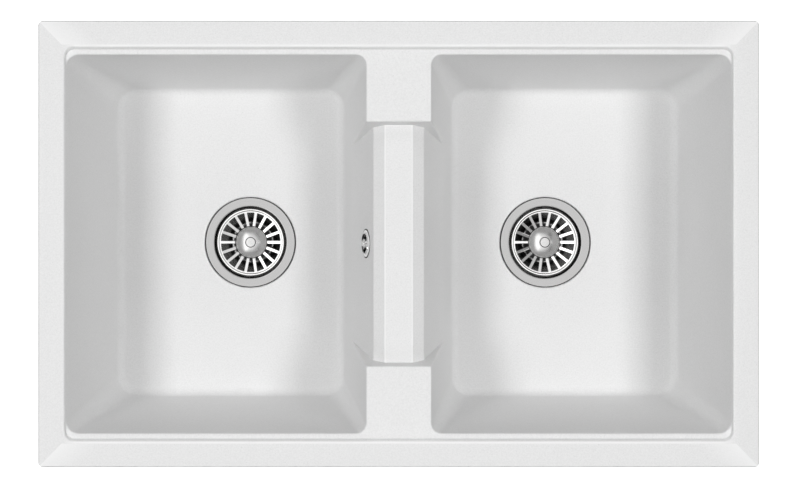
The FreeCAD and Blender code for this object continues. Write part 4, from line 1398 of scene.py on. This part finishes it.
    def bolt(self) -> Piece:
        """Turns the bolt: a slotted head with a socket for the basket's peg, and a threaded shank.

        Returns:
            The new object.
        """
        low, top = self.bolt_head
        root = self.bolt_radius - self.bolt_thread
        outline = [
            (0, top - 3.2), (3.3, top - 3.2), (3.3, top, 0.3), (self.bolt_head_radius, top, 0.7),
            (self.bolt_head_radius, low, 0.3), (root, low), (root, low - 22.2, 0.2), (root - 0.8, low - 23),
            (0, low - 23),
        ]
        thread = Thread(self.bolt_radius, root, 1.25, low - 22.5, low - 0.5)
        return SlottedScrew(outline, (8, top - 0.8, top + 1), thread).make("bolt")

    def nut(self) -> Piece:
        """Makes the hexagon nut with chamfered corners.

        Returns:
            The new object.
        """
        low, top = self.nut_heights
        reach, flat = self.nut_width / math.sqrt(3), self.nut_width / 2 - 0.2
        outline = [(0, low), (flat, low), (reach, low + self.nut_chamfer),
                   (reach, top - self.nut_chamfer), (flat, top), (0, top)]
        nut = confine(hexagon("nut", self.nut_width, low, top), turned("chamfers", outline, 64))
        return smooth(carve(nut, rod("hole", self.bolt_radius + 0.05, low - 6, top + 6)))

    def build(self) -> None:
        """Builds each piece once, and sets a copy of it in each bowl."""
        plain = {"strainer_cup": self.cup(), "clamp_bolt": self.bolt(), "bolt_nut": self.nut(),
                 "waste_outlet": self.outlet()}
        # Painted shade round the flange's edge, where it sits in the basin's recess.
        edge = (self.flange_radius - 1.1, self.flange_radius + 1)
        for side in Side:
            steel = self.steel(side, "cup_steel", 0.45, 0.14, edge)
            coats = {"strainer_cup": steel, "clamp_bolt": steel, "bolt_nut": self.palette.brass}
            body = self.body(side is Side.LEFT)
            for node, piece in {**plain, "waste_body": body}.items():
                self.set_in(side, node, piece, coats.get(node, self.palette.white_plastic))
            discard(body)
            for node in ("cup_seal", "body_seal"):
                self.carry(f"{side.value}_{node}", self.palette.rubber)
        discard(*plain.values())


@dataclass
class Basket(Drain):
    """Lift-out basket with its dome, knob and stopper."""

    sheet: float = 0.9
    radius: float = 41.8
    top: float = -2.2
    rim_width: float = 1.6
    shoulder_radius: float = 37.9
    shoulder_drop: float = 1.6
    floor_radius: float = 20.4
    floor_depth: float = 10.0
    slots: int = 18
    rib_width: float = 3.4
    slot_outer: float = 37.2
    slot_inner: float = 20.2
    slot_corner: float = 0.7
    dome_radius: float = 19.6
    dome_height: float = 7.0
    dome_sheet: float = 1.0
    dome_steps: int = 20
    knob_radius: float = 6.8
    knob_height: float = 2.2
    groove_inner: float = 5.7
    groove_outer: float = 6.4
    groove_depth: float = 1.2
    stem_radius: float = 3.6
    stem_gap: float = 0.1
    stopper_radius: float = 24.0
    stopper_top: float = -32.8

    def half_slot(self, radius: float) -> float:
        """Half of a slot's width at a radius, between ribs of even width."""
        turn = math.pi / self.slots
        return radius * math.tan(turn) - self.rib_width / 2 / math.cos(turn)

    def slot_cutter(self) -> Piece:
        """Shapes one wedge with rounded corners, and repeats it for every slot.

        Returns:
            All the wedges in one object.
        """
        inner, outer = self.half_slot(self.slot_inner), self.half_slot(self.slot_outer)
        cutter = block("slots", (self.slot_inner, -outer, -31), (self.slot_outer, outer, 3))
        pick(cutter, Pick.FACES, lambda points: all(p.x < self.slot_inner + 1 for p in points))
        bpy.ops.transform.resize(value=(1, inner / outer, 1))
        pick(cutter, Pick.EDGES, lambda points: abs(points[0].z - points[1].z) > 1)
        bpy.ops.mesh.bevel(offset=self.slot_corner * MM, segments=3)
        return ringed(settle(cutter, spun(180 / self.slots)), self.slots)

    def bowl(self) -> Piece:
        """Presses the basket: rolled rim, shoulder, slotted cone and flat floor.

        Returns:
            The new object.
        """
        shoulder = self.top - self.shoulder_drop
        face = [
            (self.radius, self.top - 2.8), (self.radius, self.top, 0.6),
            (self.radius - self.rim_width, self.top, 0.4), (self.shoulder_radius + 0.9, shoulder, 0.3),
            (self.shoulder_radius, shoulder, 0.3), (self.floor_radius, -self.floor_depth, 1.4),
            (self.stem_radius + self.stem_gap, -self.floor_depth),
        ]
        basket = turned("basket", rounded(sheet_outline(face[::-1], self.sheet), 4), 144)
        return soften(carve(basket, self.slot_cutter()), 0.15)

    def dome_arc(self) -> tuple[list[Point], list[Point]]:
        """Outer and inner line of the dome, a spherical cap, from the knob to the foot.

        Returns:
            The outer and the inner points.
        """
        sphere = (self.dome_radius**2 + self.dome_height**2) / (2 * self.dome_height)
        centre = self.dome_height - self.floor_depth - sphere
        start = math.asin(self.knob_radius / sphere)
        end = math.asin(self.dome_radius / sphere)
        turns = [start + (end - start) * step / self.dome_steps for step in range(self.dome_steps + 1)]
        outer = [(sphere * math.sin(turn), centre + sphere * math.cos(turn)) for turn in turns]
        inner = [(r - self.dome_sheet * math.sin(turn), z - self.dome_sheet * math.cos(turn))
                 for (r, z), turn in zip(outer, turns)]
        return outer, inner

    def dome(self) -> Piece:
        """Presses the dome: a spherical cap with a flat middle under the knob and a turned-in foot.

        Returns:
            The new object.
        """
        outer, inner = self.dome_arc()
        flat = outer[0][1]
        hole = self.stem_radius + self.stem_gap
        path = [(hole, flat), *outer, (self.dome_radius - 1.1, -self.floor_depth), *inner[-3::-1],
                (hole, flat - self.dome_sheet)]
        return turned("dome", path, 128)

    def stem(self) -> Piece:
        """Turns the knob with a deep groove round its top, the stem, the collar and the peg.

        Returns:
            The new object.
        """
        base = self.dome_arc()[0][0][1]
        top = base + self.knob_height
        groove = top - self.groove_depth
        collar = self.stopper_top
        outline = [
            (0, top), (self.groove_inner, top, 0.15), (self.groove_inner, groove),
            (self.groove_outer, groove), (self.groove_outer, top, 0.15), (self.knob_radius, top, 0.3),
            (self.knob_radius, base, 0.2), (self.stem_radius, base), (self.stem_radius, collar + 1.4),
            (10, collar + 1.4, 0.3), (10, collar), (3, collar), (3, -39.6, 0.6), (0, -39.6),
        ]
        return turned("stem", rounded(outline, 4), 96)

    def stopper(self) -> Piece:
        """Moulds the stopper's disc with its raised lip.

        Returns:
            The new object.
        """
        rim, top = self.stopper_radius, self.stopper_top
        outline = [
            (3, top - 3.2), (rim - 1.2, top - 3.2, 0.4), (rim, top - 2, 0.6), (rim, top + 1.2, 0.5),
            (rim - 2.6, top + 1.2, 0.5), (rim - 3.4, top, 0.5), (3, top),
        ]
        return turned("stopper", rounded(outline, 4), 96)

    def build(self) -> None:
        """Builds each piece once, and sets a copy of it in each bowl."""
        plain = {"basket": self.bowl(), "basket_dome": self.dome(), "basket_stem": self.stem(),
                 "basket_stopper": self.stopper()}
        # Painted shade in the crevice where the dome's foot meets the basket's floor.
        foot = (self.dome_radius - 0.1, self.floor_radius + 0.1)
        # Painted shade in the groove round the knob's top.
        groove = (self.groove_inner - 0.1, self.groove_outer + 0.1)
        for side in Side:
            coats = {"basket": self.steel(side, "basket_steel", 0.88, 0.10, foot),
                     "basket_stopper": self.palette.rubber}
            domed = self.steel(side, "dome_steel", 0.62, 0.24, groove)
            for node, piece in plain.items():
                self.set_in(side, node, piece, coats.get(node, domed))
        discard(*plain.values())


@dataclass
class Overflow(Assembly):
    """Overflow in the left bowl: rosette, screw, seal, elbow and the ribbed hose with its clips."""

    shoulder: Point = (29.0, -22.0)
    foot: Point = (55.43877, -109.9)
    origin_z: float = -50.5
    rosette_radius: float = 17.0
    joint_width: float = 1.1
    window_radius: float = 11.4
    spigot_radius: float = 12.6
    bar_width: float = 6.6
    boss_radius: float = 5.4
    screw_radius: float = 2.5
    screw_thread: float = 0.3
    head_radius: float = 4.2
    head_depth: float = 1.5
    crown: float = 3.0
    elbow_middle: float = -20.0
    tail_length: float = 36.0
    cuff: float = 19.0
    bend_radius: float = 58.0
    inlet_z: float = -216.0
    hose_end_x: float = -126.5
    bore_radius: float = 11.15
    root_radius: float = 12.45
    crest_radius: float = 14.05
    rib_pitch: float = 4.0
    bore_steps: int = 56
    clip_width: float = 8.0
    band_sheet: float = 0.9
    worm_lift: float = 1.9

    def place(self) -> Matrix:
        """Where the overflow sits on the saddle's side, its own +Z pointing into the left bowl.

        Returns:
            The place.
        """
        share = (self.origin_z - self.shoulder[1]) / (self.foot[1] - self.shoulder[1])
        x = self.shoulder[0] + share * (self.foot[0] - self.shoulder[0])
        lean = math.atan2(self.foot[0] - self.shoulder[0], self.shoulder[1] - self.foot[1])
        return shifted(-x, 0, self.origin_z) @ spun(math.degrees(lean) - 90, "Y")

    def rosette(self) -> Piece:
        """Casts the domed cover with its two windows, its bar and the spigot in the wall.

        Returns:
            The new object.
        """
        edge = self.rosette_radius - self.joint_width
        outline = [
            (0, self.crown), (self.window_radius, 2.3), (edge, 0.9, 0.6), (edge, 0),
            (self.spigot_radius, 0), (self.spigot_radius, -4), (self.window_radius, -4),
            (self.window_radius, -0.6), (0, -0.6),
        ]
        cover = turned("overflow_rosette_piece", rounded(outline, 4), 96)
        window = rod("window", self.window_radius, -6, 6, 96)
        half = self.bar_width / 2
        carve(window, block("bar", (-20, -half, -7), (20, half, 7)), rod("boss", self.boss_radius, -7, 7))
        carve(cover, window, rod("screw_hole", self.screw_radius + 0.1, -6, 6),
              rod("head_room", self.head_radius + 0.1, self.crown - self.head_depth, 6))
        return soften(cover, 0.3, 3, 50)

    def painted_shade(self) -> Piece:
        """Dark pieces of painted shade: a lining in the spigot's bore and a ring in the joint round the
        cover.

        Returns:
            The new object.
        """
        bore, edge = self.window_radius, self.rosette_radius
        # Painted shade lining the spigot's bore.
        lining = turned("lining", [(bore - 0.3, -0.7), (bore, -0.7), (bore, -3.9), (bore - 0.3, -3.9)], 96)
        low = edge - self.joint_width - 0.2
        # Painted shade filling the joint round the cover.
        joint = turned("joint", [(low, 0.05), (low, 0.5), (edge - 0.3, 0.5), (edge, 0.3), (edge, 0.05)], 96)
        return gather("rosette_painted_shade", [lining, joint])

    def screw(self) -> Piece:
        """Turns the slotted screw with its domed head.

        Returns:
            The new object.
        """
        root = self.screw_radius - self.screw_thread
        low = self.crown - self.head_depth
        outline = [(0, self.crown), (self.head_radius - 1.6, self.crown, 0.6),
                   (self.head_radius, low + 0.6, 0.4), (self.head_radius, low, 0.2), (root, low),
                   (root, low - 19), (0, low - 19)]
        thread = Thread(self.screw_radius, root, 0.9, low - 18.5, low - 2)
        return SlottedScrew(outline, (5, self.crown - 0.8, 5), thread).make("overflow_screw_piece")

    def hose_top(self) -> Vector:
        """Upper end of the hose on the elbow's tail."""
        middle = self.place() @ Vector((0, 0, self.elbow_middle * MM)) / MM
        return Vector((middle.x, 0, middle.z + self.cuff - self.tail_length))

    def hose_length(self) -> float:
        """Length of the hose's centreline.

        Returns:
            Millimetres.
        """
        top = self.hose_top()
        drop = top.z - (self.inlet_z + self.bend_radius)
        run = top.x - self.bend_radius - self.hose_end_x
        return drop + self.bend_radius * math.pi / 2 + run

    def bent(self, piece: Piece) -> Piece:
        """Bends a straight piece along the hose's line.

        Args:
            piece: the mesh object, which stands on z = 0.

        Returns:
            The piece.
        """
        top = self.hose_top()
        handle = self.bend_radius * QUARTER_HANDLE
        low = self.inlet_z
        corner = low + self.bend_radius
        side = top.x - self.bend_radius
        knots = [
            ((top.x, top.z), (top.x, top.z + 1), (top.x, top.z - 10)),
            ((top.x, corner), (top.x, corner + 10), (top.x, corner - handle)),
            ((side, low), (side + handle, low), (side - 10, low)),
            ((self.hose_end_x, low), (self.hose_end_x + 10, low), (self.hose_end_x - 1, low)),
        ]
        deselect()
        bpy.ops.curve.primitive_bezier_curve_add()
        line = bpy.context.object
        line.data.dimensions = "3D"
        line.data.twist_mode = "MINIMUM"
        line.data.resolution_u = 48
        points = line.data.splines[0].bezier_points
        points.add(len(knots) - 2)
        for point, knot in zip(points, knots):
            point.handle_left_type = "FREE"
            point.handle_right_type = "FREE"
            point.co, point.handle_left, point.handle_right = [(x * MM, 0, z * MM) for x, z in knot]
        line.matrix_world = Matrix.Identity(4)
        apply(piece, "CURVE", object=line, deform_axis="POS_Z")
        discard(line)
        return piece

    def hose(self) -> Piece:
        """Draws the ribbed hose straight, with rounded ribs between two plain cuffs, and bends it.

        Returns:
            The new object.
        """
        root, crest, length = self.root_radius, self.crest_radius, self.hose_length()
        count = int((length - 2 * self.cuff) / self.rib_pitch)
        pitch = (length - 2 * self.cuff) / count
        outside = [(root, 0.0), (root, self.cuff, 0.3)]
        for rib in range(count):
            start = self.cuff + rib * pitch
            outside += [(crest, start + 0.2 * pitch, 0.5), (crest, start + 0.5 * pitch, 0.5),
                        (root, start + 0.7 * pitch, 0.4), (root, start + pitch, 0.4)]
        outside[-1] = outside[-1][:2]
        outside.append((root, length))
        bore = [(self.bore_radius, length - length * step / self.bore_steps)
                for step in range(self.bore_steps + 1)]
        hose = turned("overflow_hose_piece", rounded(outside, 2) + bore, 48)
        return smooth(self.bent(hose), 50)

    def clip(self, distance: float) -> Piece:
        """Makes one band clip round a cuff: a thin band, the housing and the worm screw.

        Args:
            distance: where its middle lies along the hose.

        Returns:
            The new object.
        """
        half = self.clip_width / 2
        inner, outer = self.root_radius, self.root_radius + self.band_sheet
        across = shifted(outer + self.worm_lift, 0, 0) @ spun(90, "X")
        band = turned("band", rounded([(inner, -half), (outer, -half, 0.3), (outer, half, 0.3),
                                       (inner, half)], 2), 64)
        housing = soften(block("housing", (outer - 0.4, -3.0, -half), (outer + 3.6, 3.0, half)), 0.8, 3)
        carve(housing, settle(rod("worm_way", 1.9, -6, 6, 32), across))
        worm = turned("worm", rounded([(0, -3.6), (1.2, -3.6), (1.8, -3.2), (1.8, 3.4), (2.2, 3.4),
                                       (2.2, 4.6, 0.4), (0, 4.6)], 3), 32)
        carve(worm, block("slot", (-3, -0.35, 3.9), (3, 0.35, 6)))
        clip = gather("clip", [band, housing, smooth(settle(worm, across))])
        top, length = self.hose_top(), self.hose_length()
        if distance < length / 2:
            return settle(clip, shifted(top.x, 0, top.z - distance) @ spun(90))
        end = shifted(self.hose_end_x + length - distance, 0, self.inlet_z)
        return settle(clip, end @ spun(-90, "Y") @ spun(90))

    def build(self) -> None:
        """Builds the overflow and sets it on the saddle's side."""
        palette, place, length = self.palette, self.place(), self.hose_length()
        self.adopt(settle(self.rosette(), place), "overflow_rosette", palette.chrome)
        # Dark pieces of painted shade line the spigot and ring the cover.
        self.adopt(settle(self.painted_shade(), place), "overflow_rosette", palette.painted_shade)
        self.adopt(settle(self.screw(), place), "overflow_screw", palette.screw)
        self.adopt(self.hose(), "overflow_hose", palette.grey_plastic)
        clips = [self.clip(self.cuff / 2), self.clip(length - self.cuff / 2)]
        self.adopt(gather("hose_clips_piece", clips), "hose_clips", palette.zinc)
        self.carry("overflow_seal", palette.rubber)
        elbow = refined_copy("overflow_elbow", "overflow_elbow_piece", 35)
        self.adopt(elbow, "overflow_elbow", palette.white_plastic)


@dataclass
class Clamps(Assembly):
    """Six worktop clamps: brass insert, slotted screw and swinging claw."""

    long_side_x: float = 205.0
    long_side_y: float = 225.35
    end_x: float = 386.0
    screw_radius: float = 2.5
    screw_thread: float = 0.35
    head_radius: float = 4.6
    depth: float = 50.0
    head_height: float = 3.2
    shank_top: float = -14.0
    sheet: float = 2.0
    width: float = 12.0
    arm: float = 33.0
    claw_top: float = -47.9

    def places(self) -> dict[str, tuple[float, float, float]]:
        """Where each clamp stands.

        Returns:
            Its screw's x and y, and the degrees that its parked claw is turned, by its claw's node.
        """
        x, y = self.long_side_x, self.long_side_y
        return {
            "clamp_back_left": (-x, y, 0),
            "clamp_back_right": (x, y, 0),
            "clamp_front_left": (-x, -y, 180),
            "clamp_front_right": (x, -y, 180),
            "clamp_left_end": (-self.end_x, 0, 90),
            "clamp_right_end": (self.end_x, 0, -90),
        }

    def screw(self) -> Piece:
        """Turns one screw: pan head with a slot, and a threaded shank.

        Returns:
            The new object.
        """
        root = self.screw_radius - self.screw_thread
        low = -self.depth - self.head_height
        outline = [(0, self.shank_top), (root - 0.5, self.shank_top), (root, self.shank_top - 0.7),
                   (root, -self.depth), (self.head_radius, -self.depth, 0.3),
                   (self.head_radius, low + 1.2, 0.8), (self.head_radius - 1.6, low, 0.8), (0, low)]
        thread = Thread(self.screw_radius, root, 0.9, -self.depth + 3.2, self.shank_top - 1)
        return SlottedScrew(outline, (6, low - 1, low + 1), thread, steps=48).make("screw")

    def claw(self) -> Piece:
        """Presses one claw: eye, arm with a stiffening bead, and a turned-up end with teeth.

        Returns:
            The new object.
        """
        arm, top, half = self.arm, self.claw_top, self.width / 2
        path = [(-0.01, top), (arm, top, 3), (arm + 4, top + 8)]
        claw = drawn("claw", rounded(sheet_outline(path, self.sheet), 6, True), half)
        unite(claw, rod("eye", half, top - self.sheet, top, 64))
        tooth = drawn("tooth", [(arm - 2, top + 9), (arm + 8, top + 9), (arm + 8, top + 6.4),
                                (arm - 2, top + 6.4)], 1.1)
        carve(claw, *[settle(twin(tooth, "notch"), shifted(0, y, 0)) for y in (-3.0, 0.0, 3.0)])
        discard(tooth)
        bead = settle(rod("bead", 1.5, 9, arm - 4, 24), shifted(0, 0, top - 0.4) @ spun(90, "Y"))
        unite(claw, soften(bead, 0.7, 3))
        carve(claw, rod("hole", self.screw_radius + 0.06, -60, -40))
        return soften(claw, 0.3, 2, 50)

    def build(self) -> None:
        """Builds one screw and one claw, and sets copies of them at every clamp."""
        screw, claw = self.screw(), self.claw()
        screws = []
        for node, (x, y, turn) in self.places().items():
            place = shifted(x, y, 0) @ spun(turn)
            screws.append(settle(twin(screw, f"{node}_screw"), place))
            self.adopt(settle(twin(claw, f"{node}_claw"), place), node, self.palette.zinc)
        self.adopt(gather("clamp_screws_piece", screws), "clamp_screws", self.palette.zinc)
        self.carry("clamp_inserts", self.palette.brass)
        discard(screw, claw)


def main() -> None:
    """Builds the stage and then the sink, one sub-assembly after another."""
    logging.basicConfig(level=logging.INFO, format="%(message)s")
    Studio().build()
    palette = Palette()
    for assembly in (Basin, Strainer, Basket, Overflow, Clamps):
        assembly(palette).build()


if __name__ == "__main__":
    main()
